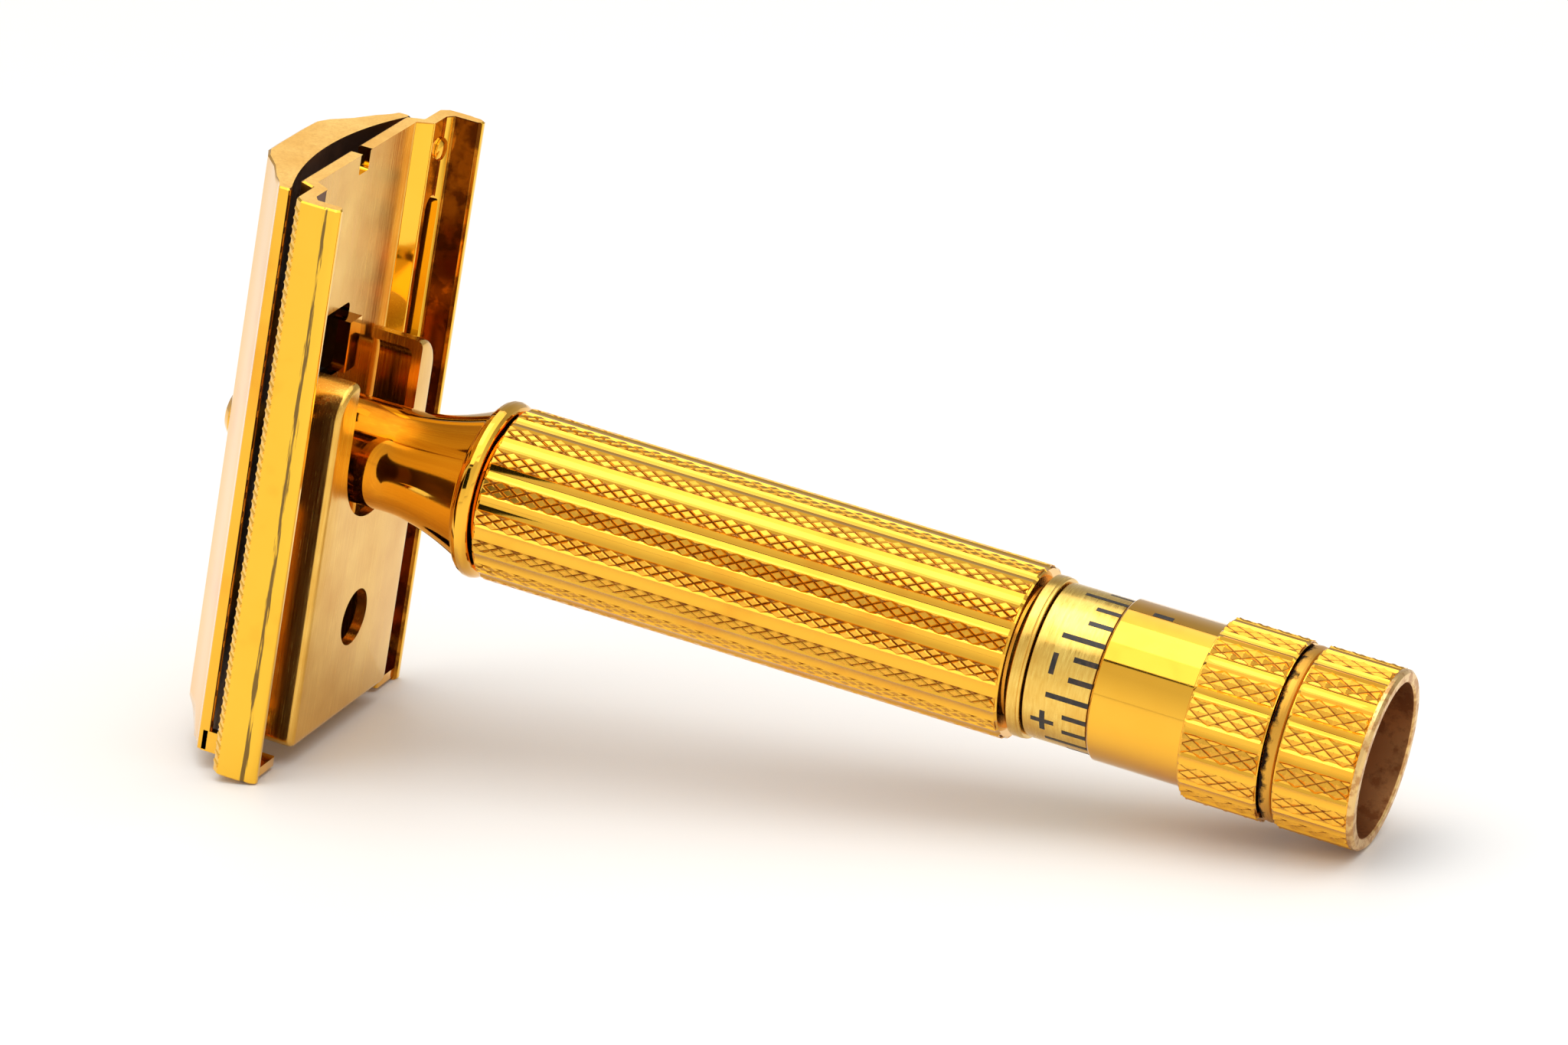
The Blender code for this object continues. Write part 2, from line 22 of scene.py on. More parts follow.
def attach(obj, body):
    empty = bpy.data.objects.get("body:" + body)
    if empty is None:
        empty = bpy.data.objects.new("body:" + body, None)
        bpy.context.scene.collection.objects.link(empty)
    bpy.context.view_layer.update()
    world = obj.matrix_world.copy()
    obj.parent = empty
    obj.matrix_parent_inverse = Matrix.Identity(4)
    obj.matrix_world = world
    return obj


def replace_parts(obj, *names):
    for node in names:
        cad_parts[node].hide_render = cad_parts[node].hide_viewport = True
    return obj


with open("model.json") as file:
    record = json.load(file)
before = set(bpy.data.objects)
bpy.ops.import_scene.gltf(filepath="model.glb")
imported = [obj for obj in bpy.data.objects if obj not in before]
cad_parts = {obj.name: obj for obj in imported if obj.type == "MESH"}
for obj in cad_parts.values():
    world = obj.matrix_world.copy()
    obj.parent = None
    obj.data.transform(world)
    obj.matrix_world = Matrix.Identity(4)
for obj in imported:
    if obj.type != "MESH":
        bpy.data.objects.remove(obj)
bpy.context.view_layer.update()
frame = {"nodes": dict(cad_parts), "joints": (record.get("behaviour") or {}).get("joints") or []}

MM = 0.001

# %% [markdown]
# The knob's hinge runs down the middle of the handle, so its axis and its point say how the
# razor lies. From them comes the matrix that takes a piece from the razor's own frame to the
# row's frame, and its inverse, which measures the CAD nodes in the razor's own frame.

# %% The razor's own frame
knob_hinge = next(j for j in frame["joints"] if j["name"] == "knob_turn")
UP_HANDLE = -Vector(knob_hinge["axis"])
RIM_CENTRE = Vector(knob_hinge["pos_m"])
ACROSS = Vector((0.0, 1.0, 0.0))
ALONG_HEAD = ACROSS.cross(UP_HANDLE)
TILT = atan2(ALONG_HEAD.x, ALONG_HEAD.z)
LAY_DOWN = Matrix.Translation(RIM_CENTRE) @ Matrix(
    (ALONG_HEAD, ACROSS, UP_HANDLE)).transposed().to_4x4()
STAND_UP = LAY_DOWN.inverted()


def own_box(node):
    """Lowest and highest corner of a CAD node in the razor's own frame, in millimetres."""
    points = [STAND_UP @ vert.co / MM for vert in frame["nodes"][node].data.vertices]
    return [Vector(pick(p[i] for p in points) for i in range(3)) for pick in (min, max)]


GUARD_LOW, GUARD_HIGH = own_box("guard_plate")
PLATFORM_RISE = 1.2
EDGE = GUARD_HIGH.z - PLATFORM_RISE      # height of the guard's edges
print("tilt %.2f degrees, guard's edges %.2f mm up the handle" % (TILT * 180 / pi, EDGE))

# %% [markdown]
# ## Making surfaces
#
# Nearly every piece here is a stack of rings with faces between them. A turned piece has
# circles as its rings, a pressed one has its cross-section at each station along its length. So
# one function, `loft`, makes them all. Sharp corners catch no light, and the real ones are
# never quite sharp, so `fillet` rounds the corners of an outline before it is used.

# %% Rings, lofts and turned pieces
COLLECTION = bpy.context.scene.collection
CREASE = 32.0                            # degrees; an edge that turns further stays sharp
CURVE_TURN = radians(14)                 # a point on an outline that turns less is on a curve
MERGE = 0.0005 * MM


def new_piece(name, verts, faces, finish, body, crease=CREASE):
    """A mesh in the razor's own frame, laid down, shaded smooth and given its finish."""
    mesh = bpy.data.meshes.new(name)
    mesh.from_pydata([Vector(v) * MM for v in verts], [], faces)
    mesh.transform(LAY_DOWN)
    solid = bmesh.new()
    solid.from_mesh(mesh)
    bmesh.ops.remove_doubles(solid, verts=solid.verts, dist=MERGE)
    bmesh.ops.recalc_face_normals(solid, faces=solid.faces)
    solid.to_mesh(mesh)
    solid.free()
    mesh.shade_smooth()
    mesh.set_sharp_from_angle(angle=radians(crease))
    obj = bpy.data.objects.new(name, mesh)
    COLLECTION.objects.link(obj)
    if finish is not None:
        mesh.materials.append(finish)
    if body is not None:
        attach(obj, body)
    print("%s: %d faces" % (name, len(mesh.polygons)))
    return obj


def loft_faces(ring_count, ring_size, joined, first=0):
    """Faces between rings; a joined stack closes on itself, any other gets two end faces."""
    faces = []
    for i in range(ring_count if joined else ring_count - 1):
        low, high = first + i * ring_size, first + (i + 1) % ring_count * ring_size
        for j in range(ring_size):
            k = (j + 1) % ring_size
            faces.append((low + j, low + k, high + k, high + j))
    if not joined:
        faces.append(tuple(first + j for j in range(ring_size)))
        faces.append(tuple(first + (ring_count - 1) * ring_size + j for j in range(ring_size)))
    return faces


def loft(name, rings, finish, body, joined=False, crease=CREASE):
    verts = [point for ring in rings for point in ring]
    faces = loft_faces(len(rings), len(rings[0]), joined)
    return new_piece(name, verts, faces, finish, body, crease)


def fillet(outline, radius, segments=3):
    """The outline with its corners rounded. A corner never takes over 0.45 of a side, and a
    point on a curve, where the outline hardly turns, stays as it is."""
    rounded = []
    for i, corner in enumerate(outline):
        here = Vector(corner)
        before = Vector(outline[i - 1]) - here
        after = Vector(outline[(i + 1) % len(outline)]) - here
        turn = pi - before.angle(after)
        if turn < CURVE_TURN:
            rounded.append(tuple(corner))
            continue
        cut = min(radius * tan(turn / 2), 0.45 * before.length, 0.45 * after.length)
        start, end = here + before.normalized() * cut, here + after.normalized() * cut
        for step in range(segments + 1):
            t = step / segments
            rounded.append(tuple(start * (1 - t) ** 2 + here * 2 * t * (1 - t) + end * t ** 2))
    return rounded


def arc(centre, radius, start, end, count):
    """Points on a circle from one angle to another, both ends included."""
    angles = [start + (end - start) * i / (count - 1) for i in range(count)]
    return [(centre[0] + radius * cos(t), centre[1] + radius * sin(t)) for t in angles]


def turned(name, profile, finish, body, round_off=0.12, steps=160, crease=CREASE):
    """A turned piece from a closed profile of (radius, height) points."""
    rings = [[(r * cos(t), r * sin(t), z) for t in (2 * pi * j / steps for j in range(steps))]
             for r, z in fillet(profile, round_off)]
    return loft(name, rings, finish, body, joined=True, crease=crease)


def down(distance):
    """Height of a station this far below the guard's edges."""
    return EDGE - distance


print("a rounded square has %d points" % len(fillet([(0, 0), (4, 0), (4, 4), (0, 4)], 0.5)))

# %% [markdown]
# Slots, holes and notches are cut through sheet metal. Their outlines are pushed through it as
# prisms, all of them in one cutter mesh, and one Boolean does the punching. The result is taken
# off the modifier, so that a plain mesh is left.

# %% Punching holes
def punch(obj, outlines, low, high):
    """Cuts straight holes with these (x, y) outlines through a piece, from low to high."""
    verts, faces = [], []
    for outline in outlines:
        faces += loft_faces(2, len(outline), False, first=len(verts))
        verts += [(x, y, z) for z in (low, high) for x, y in outline]
    cutter = new_piece("punch", verts, faces, None, None)
    step = obj.modifiers.new("punched", "BOOLEAN")
    step.operation = "DIFFERENCE"
    step.solver = "EXACT"
    step.object = cutter
    graph = bpy.context.evaluated_depsgraph_get()
    cut = bpy.data.meshes.new_from_object(obj.evaluated_get(graph))
    obj.modifiers.clear()
    obj.data = cut
    bpy.data.objects.remove(cutter, do_unlink=True)
    cut.shade_smooth()
    cut.set_sharp_from_angle(angle=radians(CREASE))
    print("%s: %d holes, %d faces" % (obj.name, len(outlines), len(cut.polygons)))


def finish_where(obj, finish, chosen):
    """Gives a finish to the faces that chosen(centre, normal) picks, in the razor's own axes."""
    obj.data.materials.append(finish)
    slot_index = len(obj.data.materials) - 1
    turn = STAND_UP.to_3x3()
    for face in obj.data.polygons:
        if chosen(STAND_UP @ face.center / MM, turn @ face.normal):
            face.material_index = slot_index


def rectangle(x0, x1, y0, y1, radius):
    return fillet([(x0, y0), (x1, y0), (x1, y1), (x0, y1)], radius, 4)


def slot(x0, x1, y0, y1):
    """A slot along X with half-round ends."""
    r, middle = (y1 - y0) / 2, (y0 + y1) / 2
    return (arc((x1 - r, middle), r, -pi / 2, pi / 2, 12)
            + arc((x0 + r, middle), r, pi / 2, 3 * pi / 2, 12))


print("a slot's outline has %d points" % len(slot(0.0, 6.0, 0.0, 2.0)))

# %% [markdown]
# ## Finishes
#
# Everything outside is brass with a thin plating of gold. The plating takes the surface under
# it: mirror-like where the brass was buffed, streaky where it was brushed. Years of use leave
# fine scratches, a warmer tone where lather has dried, and dark residue down in every cut.
#
# The maker sprayed a thin clear lacquer over the polished plating, which is why its highlights
# are paler than the metal: lacquer reflects white. On the metal's shader that is the coat.
#
# Each colour is a hex value as an artist would pick it, turned to linear by one function. Each
# pattern reads the Object coordinates, turned into the razor's own frame by a Mapping node, so
# that streaks can run along the head or round the handle.

# %% Colours and nodes
LACQUER_ROUGHNESS = 0.05


def linear(hex_code):
    """An sRGB hex colour as a linear RGBA value."""
    channels = [int(hex_code[i:i + 2], 16) / 255 for i in (1, 3, 5)]
    return [c / 12.92 if c <= 0.04045 else ((c + 0.055) / 1.055) ** 2.4 for c in channels] + [1.0]


def add_node(tree, kind, inputs=None, **settings):
    """Adds a node. An input given a socket is linked to it, and an input given a node to that
    node's first output. Any other input gets the value."""
    made = tree.nodes.new(kind)
    for key, value in settings.items():
        setattr(made, key, value)
    for key, value in (inputs or {}).items():
        if isinstance(value, bpy.types.Node):
            value = value.outputs[0]
        if isinstance(value, bpy.types.NodeSocket):
            tree.links.new(value, made.inputs[key])
        else:
            made.inputs[key].default_value = value
    return made


def start_metal(name, lacquer=0.0, metallic=1.0):
    """A metal's material, a call that adds a node to it, and the razor's own coordinates."""
    material = bpy.data.materials.new(name)
    material.use_nodes = True
    add = partial(add_node, material.node_tree)
    shader = material.node_tree.nodes["Principled BSDF"]
    shader.inputs["Metallic"].default_value = metallic
    shader.inputs["Coat Weight"].default_value = lacquer
    shader.inputs["Coat Roughness"].default_value = LACQUER_ROUGHNESS
    place = add("ShaderNodeMapping", {
        "Vector": add("ShaderNodeTexCoord").outputs["Object"], "Location": STAND_UP.translation,
        "Rotation": STAND_UP.to_euler()})
    return material, add, place


def plug(material, colour, rough, bump=None):
    """Links a Mix node's colour, a roughness and perhaps a bump to the material's shader."""
    tree = material.node_tree
    shader = tree.nodes["Principled BSDF"]
    tree.links.new(colour.outputs[2], shader.inputs["Base Color"])
    tree.links.new(rough.outputs[0], shader.inputs["Roughness"])
    if bump:
        tree.links.new(bump.outputs[0], shader.inputs["Normal"])
    return material


print("mid grey #808080 is %.3f in linear light" % linear("#808080")[0])


# %% [markdown]
# Buffed gold plate is a mirror with a history. Three things break up its reflections: a
# slow change between yellow and orange gold, a haze of handling that dulls it in patches, and
# fine scratches. A scratch is noise squeezed in one direction, at about 0.05 mm across; here
# it is drawn 0.12 mm across, because a finer one would not show.

# %% Buffed gold plate
LACQUER = 0.45


def rub_through(add, place, colour, height):
    """Dark, broken streaks along the head at this height, where the plating has rubbed off."""
    level = add("ShaderNodeSeparateXYZ", {0: place})
    off = add("ShaderNodeMath", {0: level.outputs[2], 1: height * MM}, operation="SUBTRACT")
    off = add("ShaderNodeMath", {0: off}, operation="ABSOLUTE")
    near = add("ShaderNodeMapRange", {
        "Value": off, "From Max": 0.42 * MM, "To Min": 0.2, "To Max": -0.25})
    squeeze = add("ShaderNodeMapping", {"Vector": place, "Scale": (0.045, 1.0, 1.0)})
    streaks = add("ShaderNodeTexNoise", {
        "Vector": squeeze, "Scale": 1 / (0.2 * MM), "Detail": 4.0, "Roughness": 0.6})
    both = add("ShaderNodeMath", {0: near, 1: streaks.outputs["Fac"]}, operation="ADD")
    bare = add("ShaderNodeMapRange", {
        "Value": both, "From Min": 0.53, "From Max": 0.62, "To Max": 0.85})
    return add("ShaderNodeMix", {
        "Factor": bare, 6: colour.outputs[2], 7: linear("#4A3520")}, data_type="RGBA")


def buffed_gold_plate(name="buffed_gold_plate", light="#F9BF3A", deep="#F0AD20",
                      amber="#E8981C", shine=0.06, haze=0.2, rubbed=None):
    """rubbed is the height of a line where handling has worn through to dark metal."""
    material, add, place = start_metal(name, LACQUER)
    tone = add("ShaderNodeTexNoise", {
        "Vector": place, "Scale": 1 / (7 * MM), "Detail": 3.0, "Roughness": 0.6})
    colour = add("ShaderNodeMix", {
        "Factor": tone.outputs["Fac"], 6: linear(light), 7: linear(deep)}, data_type="RGBA")
    stain = add("ShaderNodeMapRange", {
        "Value": tone.outputs["Fac"], "From Min": 0.55, "From Max": 0.8, "To Max": 0.8})
    colour = add("ShaderNodeMix", {
        "Factor": stain, 6: colour.outputs[2], 7: linear(amber)}, data_type="RGBA")
    if rubbed is not None:
        colour = rub_through(add, place, colour, rubbed)
    squeeze = add("ShaderNodeMapping", {
        "Vector": place, "Scale": (0.05, 1.0, 0.35), "Rotation": (0.3, 0.2, 0.5)})
    scratches = add("ShaderNodeTexNoise", {
        "Vector": squeeze, "Scale": 1 / (0.12 * MM), "Detail": 2.0})
    lines = add("ShaderNodeMapRange", {
        "Value": scratches.outputs["Fac"], "From Min": 0.62, "From Max": 0.78})
    smears = add("ShaderNodeTexNoise", {
        "Vector": place, "Scale": 1 / (2.5 * MM), "Detail": 5.0, "Roughness": 0.65})
    worn = add("ShaderNodeMapRange", {
        "Value": smears.outputs["Fac"], "From Min": 0.45, "From Max": 0.75})
    dull = add("ShaderNodeMath", {0: lines, 1: worn}, operation="MULTIPLY")
    rough = add("ShaderNodeMapRange", {"Value": dull, "To Min": shine, "To Max": haze})
    bump = add("ShaderNodeBump", {"Height": dull, "Strength": 0.08, "Distance": -0.01 * MM})
    return plug(material, colour, rough, bump)


BUFFED = buffed_gold_plate()
GUARD_PLATING = buffed_gold_plate("rubbed_gold_plate", light="#FAC53A", deep="#F4B926",
                                  rubbed=down(2.5))
print("buffed:", BUFFED.name, GUARD_PLATING.name)

# %% [markdown]
# The bracket and the underside of the guard were drawn over a fine belt before plating.
# Brushing is thousands of parallel furrows, each some hundredths of a millimetre wide and
# many millimetres long. Noise that is stretched fifty times along the head gives them, and
# the same noise moves colour, roughness and bump together, as real furrows do.

# %% Brushed gold plate
def brushed_gold_plate(name="brushed_gold_plate", light="#F2C768", deep="#D8A040", across_mm=0.14,
                       stretch=(0.02, 1.0, 1.0), rough=(0.14, 0.3)):
    material, add, place = start_metal(name)
    squeeze = add("ShaderNodeMapping", {"Vector": place, "Scale": stretch})
    furrows = add("ShaderNodeTexNoise", {
        "Vector": squeeze, "Scale": 1 / (across_mm * MM), "Detail": 4.0, "Roughness": 0.7})
    cloud = add("ShaderNodeTexNoise", {"Vector": place, "Scale": 1 / (4 * MM), "Detail": 4.0})
    both = add("ShaderNodeMath", {
        0: furrows.outputs["Fac"], 1: cloud.outputs["Fac"]}, operation="MULTIPLY")
    spread = add("ShaderNodeMapRange", {"Value": both, "From Min": 0.12, "From Max": 0.42})
    colour = add("ShaderNodeMix", {
        "Factor": spread, 6: linear(deep), 7: linear(light)}, data_type="RGBA")
    satin = add("ShaderNodeMapRange", {
        "Value": furrows.outputs["Fac"], "From Min": 0.3, "From Max": 0.7, "To Min": rough[0],
        "To Max": rough[1]})
    bump = add("ShaderNodeBump", {
        "Height": furrows.outputs["Fac"], "Strength": 0.3, "Distance": 0.01 * MM})
    return plug(material, colour, satin, bump)


BRUSHED = brushed_gold_plate()
# the barrel was brushed while it turned, so its furrows run round it: short in Z, long in X, Y
TURNED_BRASS = brushed_gold_plate("turned_pale_gold_plate", "#FBD873", "#DDAA48", 0.16,
                                  (0.12, 0.12, 1.0), (0.16, 0.3))
# sawn ends and the guard's underside were never buffed, so they scatter light more widely
SATIN = brushed_gold_plate("satin_gold_plate", "#FFD984", "#EDB85E", 0.2, (0.1, 1.0, 1.0),
                           (0.5, 0.66))
print("brushed:", BRUSHED.name, TURNED_BRASS.name, SATIN.name)

# %% [markdown]
# In the knurling, painted shade browns the bottom of the cuts and the tops stay bright.
# The depth of a cut can be read from the shape itself: on a turned piece it is the distance
# from the axis. So the material measures that distance and browns the gold as it gets smaller,
# with noise that breaks the painted shade up.

# %% Knurled gold plate
def knurled_gold_plate(name, top_radius, depth, shade_ends):
    """The bottom of each cut is browned with painted shade; the last argument is where up the cut
    the shade ends: 1 at its bottom, 0 at its top.
    """
    material, add, place = start_metal(name)
    apart = add("ShaderNodeSeparateXYZ", {0: place})
    flat = add("ShaderNodeCombineXYZ", {0: apart.outputs[0], 1: apart.outputs[1]})
    radius = add("ShaderNodeVectorMath", {0: flat}, operation="LENGTH")
    bright = add("ShaderNodeMapRange", {
        "Value": radius.outputs["Value"], "From Min": (top_radius - depth) * MM,
        "From Max": (top_radius - shade_ends * depth) * MM})
    speckle = add("ShaderNodeTexNoise", {
        "Vector": place, "Scale": 1 / (0.5 * MM), "Detail": 4.0, "Roughness": 0.7})
    broken = add("ShaderNodeMapRange", {
        "Value": speckle.outputs["Fac"], "From Min": 0.3, "From Max": 0.7, "To Min": -0.25,
        "To Max": 0.25})
    unshaded = add("ShaderNodeMath", {0: bright, 1: broken}, operation="ADD", use_clamp=True)
    tone = add("ShaderNodeTexNoise", {"Vector": place, "Scale": 1 / (9 * MM), "Detail": 2.0})
    gold = add("ShaderNodeMix", {
        "Factor": tone.outputs["Fac"], 6: linear("#F7BE4A"), 7: linear("#E9A631")},
        data_type="RGBA")
    # painted shade: dark brown at the bottom of the cuts
    colour = add("ShaderNodeMix", {
        "Factor": unshaded, 6: linear("#7E3E12"), 7: gold.outputs[2]}, data_type="RGBA")
    rough = add("ShaderNodeMapRange", {"Value": unshaded, "To Min": 0.5, "To Max": 0.16})
    return plug(material, colour, rough)


# %% [markdown]
# The rest are small: black enamel rubbed into the engraved scale, dark brown patches on the
# wire in the knob's groove, worn copper-brown brass in the hollow end, painted shade for the head
# and the knurling's cuts, and plain bronze and steel inside.
# They share one builder, because all of them are one base colour blended with a second by noise.

# %% Enamel, wire, bore, painted shade, bronze and steel
def mottled(name, first, second, grain_mm, share, metallic, rough, lean=None):
    """Two colours in patches of about grain_mm; share is where the second one starts.

    lean is a (height, reach) in millimetres: the first colour gathers above that height.
    """
    material, add, place = start_metal(name, metallic=metallic)
    patches = add("ShaderNodeTexNoise", {
        "Vector": place, "Scale": 1 / (grain_mm * MM), "Detail": 5.0, "Roughness": 0.6})
    amount = patches.outputs["Fac"]
    if lean:
        level = add("ShaderNodeSeparateXYZ", {0: place})
        above = add("ShaderNodeMapRange", {
            "Value": level.outputs[2], "From Min": (lean[0] - lean[1]) * MM,
            "From Max": (lean[0] + lean[1]) * MM, "To Min": 0.22, "To Max": -0.22})
        amount = add("ShaderNodeMath", {0: amount, 1: above}, operation="ADD")
    mask = add("ShaderNodeMapRange", {
        "Value": amount, "From Min": share - 0.06, "From Max": share + 0.06})
    colour = add("ShaderNodeMix", {
        "Factor": mask, 6: linear(first), 7: linear(second)}, data_type="RGBA")
    dull = add("ShaderNodeMapRange", {"Value": mask, "To Min": rough[0], "To Max": rough[1]})
    return plug(material, colour, dull)


ENAMEL = mottled("black_scale_enamel", "#1B1410", "#3A2A1C", 0.4, 0.55, 0.0, (0.35, 0.5))
# dark brown patches over gold, gathered on the side towards the head
DARK_PATCHED_WIRE = mottled("dark_patched_wire", "#24140A", "#D69C38", 1.3, 0.46, 0.8, (0.75, 0.32),
                  lean=(down(72.95), 0.5))
WORN_BORE = mottled("worn_brass_bore", "#C08A58", "#8E5730", 1.6, 0.55, 1.0, (0.36, 0.5))
PALE_RIM = mottled("rubbed_brass_rim", "#E6C07E", "#C4925A", 0.8, 0.5, 1.0, (0.3, 0.42))
# painted shade for the floors of the cuts between the knurled diamonds
CUT_SHADE = mottled("painted_shade_in_cuts", "#8C501A", "#C08430", 0.5, 0.5, 0.8, (0.5, 0.35))
# painted shade: dark brown plating for faces inside the head and under the cap, where shade falls
PAINTED_SHADE_PLATING = mottled("painted_shade_plating", "#4C2D12", "#623A16", 5.0, 0.5, 0.9, (0.5, 0.42))
# darker gold for the guard's faces that look up under the cap
UNDER_CAP_PLATING = mottled("under_cap_plating", "#B87C2E", "#D29C40", 6.0, 0.5, 1.0, (0.4, 0.3))
# painted shade: brown for a flange's inner face, which lies in shade inside the head
FLANGE_INSIDE_SHADE = mottled("painted_shade_flange", "#6A3C10", "#B8741E", 2.2, 0.5, 1.0, (0.22, 0.14))
BRONZE = mottled("plain_bronze", "#C08A4E", "#9A6532", 0.7, 0.5, 1.0, (0.3, 0.45))
STEEL = mottled("bare_steel", "#B9BABC", "#8D8E90", 0.5, 0.55, 1.0, (0.25, 0.4))
print("finishes:", sorted(m.name for m in bpy.data.materials))

# %% [markdown]
# ## The head
#
# The guard is one strip of sheet brass pressed into a raised platform, a ledge at each side and
# a flange turned down at each edge. Its section is drawn for one half and mirrored, and swept
# along the head. The first and last sections are pulled in a little, which breaks the sharp
# cut edge at the ends.

# %% Guard plate
def mirrored(half):
    """A closed (y, z) outline from its right half, which runs from the top to the bottom."""
    return half + [(-y, z) for y, z in reversed(half)]


def swept(name, section, low, high, finish, body, broken_edge=0.12, stations=2, shape=None):
    """A section of (y, z) points swept along X. shape may change a point at each station."""
    middle = sum(z for _, z in section) / len(section)
    width = max(y for y, _ in section)
    places = [(low, broken_edge), (low + broken_edge, 0.0)]
    places += [(low + (high - low) * i / stations, 0.0) for i in range(1, stations)]
    places += [(high - broken_edge, 0.0), (high, broken_edge)]
    rings = []
    for x, pulled in places:
        ring = []
        for y, z in section:
            shrink = 1 - pulled / width
            at = (x, y * shrink, middle + (z - middle) * (1 - pulled / 2))
            ring.append(shape(*at) if shape else at)
        rings.append(ring)
    return loft(name, rings, finish, body)


HALF_WIDTH = GUARD_HIGH.y
CORNER = 0.55                            # the flange's corner is taken off this far
guard_half = [(8.7, down(-1.2)), (9.3, down(-0.02)), (HALF_WIDTH - CORNER, down(0.0)),
              (HALF_WIDTH - 0.04, down(CORNER)), (HALF_WIDTH, down(1.5)),
              (HALF_WIDTH - 0.02, down(2.4)), (HALF_WIDTH - 0.1, down(2.62)),
              (HALF_WIDTH - 0.1, down(3.1)), (HALF_WIDTH - 0.3, down(3.45)),
              (11.75, down(3.45)), (11.6, down(3.2)), (11.58, down(1.35)), (11.0, down(0.95)),
              (9.05, down(0.95)), (8.3, down(-0.25))]
guard = swept("guard_pressed", fillet(mirrored(guard_half), 0.22), GUARD_LOW.x, GUARD_HIGH.x,
              GUARD_PLATING, "handle")
print("guard: %.1f mm long, %.1f mm wide" % (GUARD_HIGH.x - GUARD_LOW.x, 2 * HALF_WIDTH))

# %% [markdown]
# The punched openings follow: two lather slots at each side, a window, a notch at the upper
# end, and holes for the stud and the pin. A slot lets lather through under the blade.

# %% Openings in the guard
PIN_X, RIVET_X, RIVET_Y = -12.5, 19.2, 10.55
openings = [slot(start, end, *sorted((side * 9.6, side * 11.3)))
            for side in (-1, 1) for start, end in ((3.9, 15.7), (-20.3, -3.0))]
openings += [rectangle(4.8, 10.0, -3.8, 1.2, 0.5), rectangle(19.95, 23.0, -0.8, 0.8, 0.2),
             arc((0.0, 0.0), 1.8, 0.0, 2 * pi * 31 / 32, 32),
             arc((PIN_X, 0.0), 1.9, 0.0, 2 * pi * 31 / 32, 32)]
punch(guard, openings, down(4.5), down(-3.0))
finish_where(guard, SATIN, lambda at, facing: abs(facing.x) > 0.9 and at.x > 20.0)
finish_where(guard, BRUSHED, lambda at, facing: facing.z < -0.8 and abs(at.y) < 8.6)
# darker gold on the faces that look up under the cap
finish_where(guard, UNDER_CAP_PLATING, lambda at, facing: facing.z > 0.4 and abs(at.y) < 11.6)
# painted shade on the far flange's inner face, inside the head
finish_where(guard, FLANGE_INSIDE_SHADE, lambda at, facing: at.y > 11.4 and facing.y < -0.6)
# painted shade on the near flange's inner face and the near ledge's underside, which the neck
# reflects dark
finish_where(guard, PAINTED_SHADE_PLATING, lambda at, facing: (at.y < -11.4 and facing.y > 0.6)
             or (at.y < -9.0 and facing.z < -0.8 and at.z > down(1.2)))
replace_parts(guard, "guard_plate")

for side in (-1, 1):
    section = fillet([(side * 8.7, down(0.7)), (side * 11.8, down(0.7)),
                      (side * 11.8, down(3.2)), (side * 8.7, down(3.2))], 0.2)
    web = loft("end_web_" + ("near" if side < 0 else "far"),
               [[(x, y, z) for y, z in section] for x in (-21.3, -20.6)], BUFFED, "handle")

# %% [markdown]
# ### The guard's milled edge
#
# A row of small slanted ridges on each flange's corner stretches the skin ahead of the blade.
# They are all alike, so Geometry Nodes makes them: a line of points, one little bar with a few
# sides on each point, and the whole row turned into real faces at the end. The second row has
# the same inputs, with its side and its lean reversed.

# %% A helper for node trees
def new_tree(name, inputs):
    """A new Geometry Nodes tree, a call that adds a node to it, and its inputs' sockets."""
    tree = bpy.data.node_groups.new(name, "GeometryNodeTree")
    for label, kind in inputs:
        tree.interface.new_socket(label, in_out="INPUT", socket_type=kind)
    tree.interface.new_socket("Geometry", in_out="OUTPUT", socket_type="NodeSocketGeometry")
    add = partial(add_node, tree)
    return tree, add, add("NodeGroupInput").outputs


def close_tree(add, geometry, finish):
    """Ends a tree the way the export needs it: real faces, with their material set."""
    real = add("GeometryNodeRealizeInstances", {0: geometry})
    coated = add("GeometryNodeSetMaterial", {"Geometry": real, "Material": finish})
    add("NodeGroupOutput", {0: coated})


def run_tree(name, tree, values, body, crease=CREASE):
    """Evaluates a tree with these input values and keeps the result as a plain, laid-down mesh."""
    holder = bpy.data.objects.new(name, bpy.data.meshes.new(name))
    COLLECTION.objects.link(holder)
    step = holder.modifiers.new(tree.name, "NODES")
    step.node_group = tree
    sockets = {s.name: s.identifier for s in tree.interface.items_tree if s.in_out == "INPUT"}
    for label, value in values.items():
        step[sockets[label]] = value
    graph = bpy.context.evaluated_depsgraph_get()
    mesh = bpy.data.meshes.new_from_object(holder.evaluated_get(graph))
    holder.modifiers.clear()
    holder.data = mesh
    mesh.transform(Matrix.Scale(MM, 4))
    mesh.transform(LAY_DOWN)
    mesh.shade_smooth()
    mesh.set_sharp_from_angle(angle=radians(crease))
    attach(holder, body)
    print("%s: %d faces" % (name, len(mesh.polygons)))
    return holder


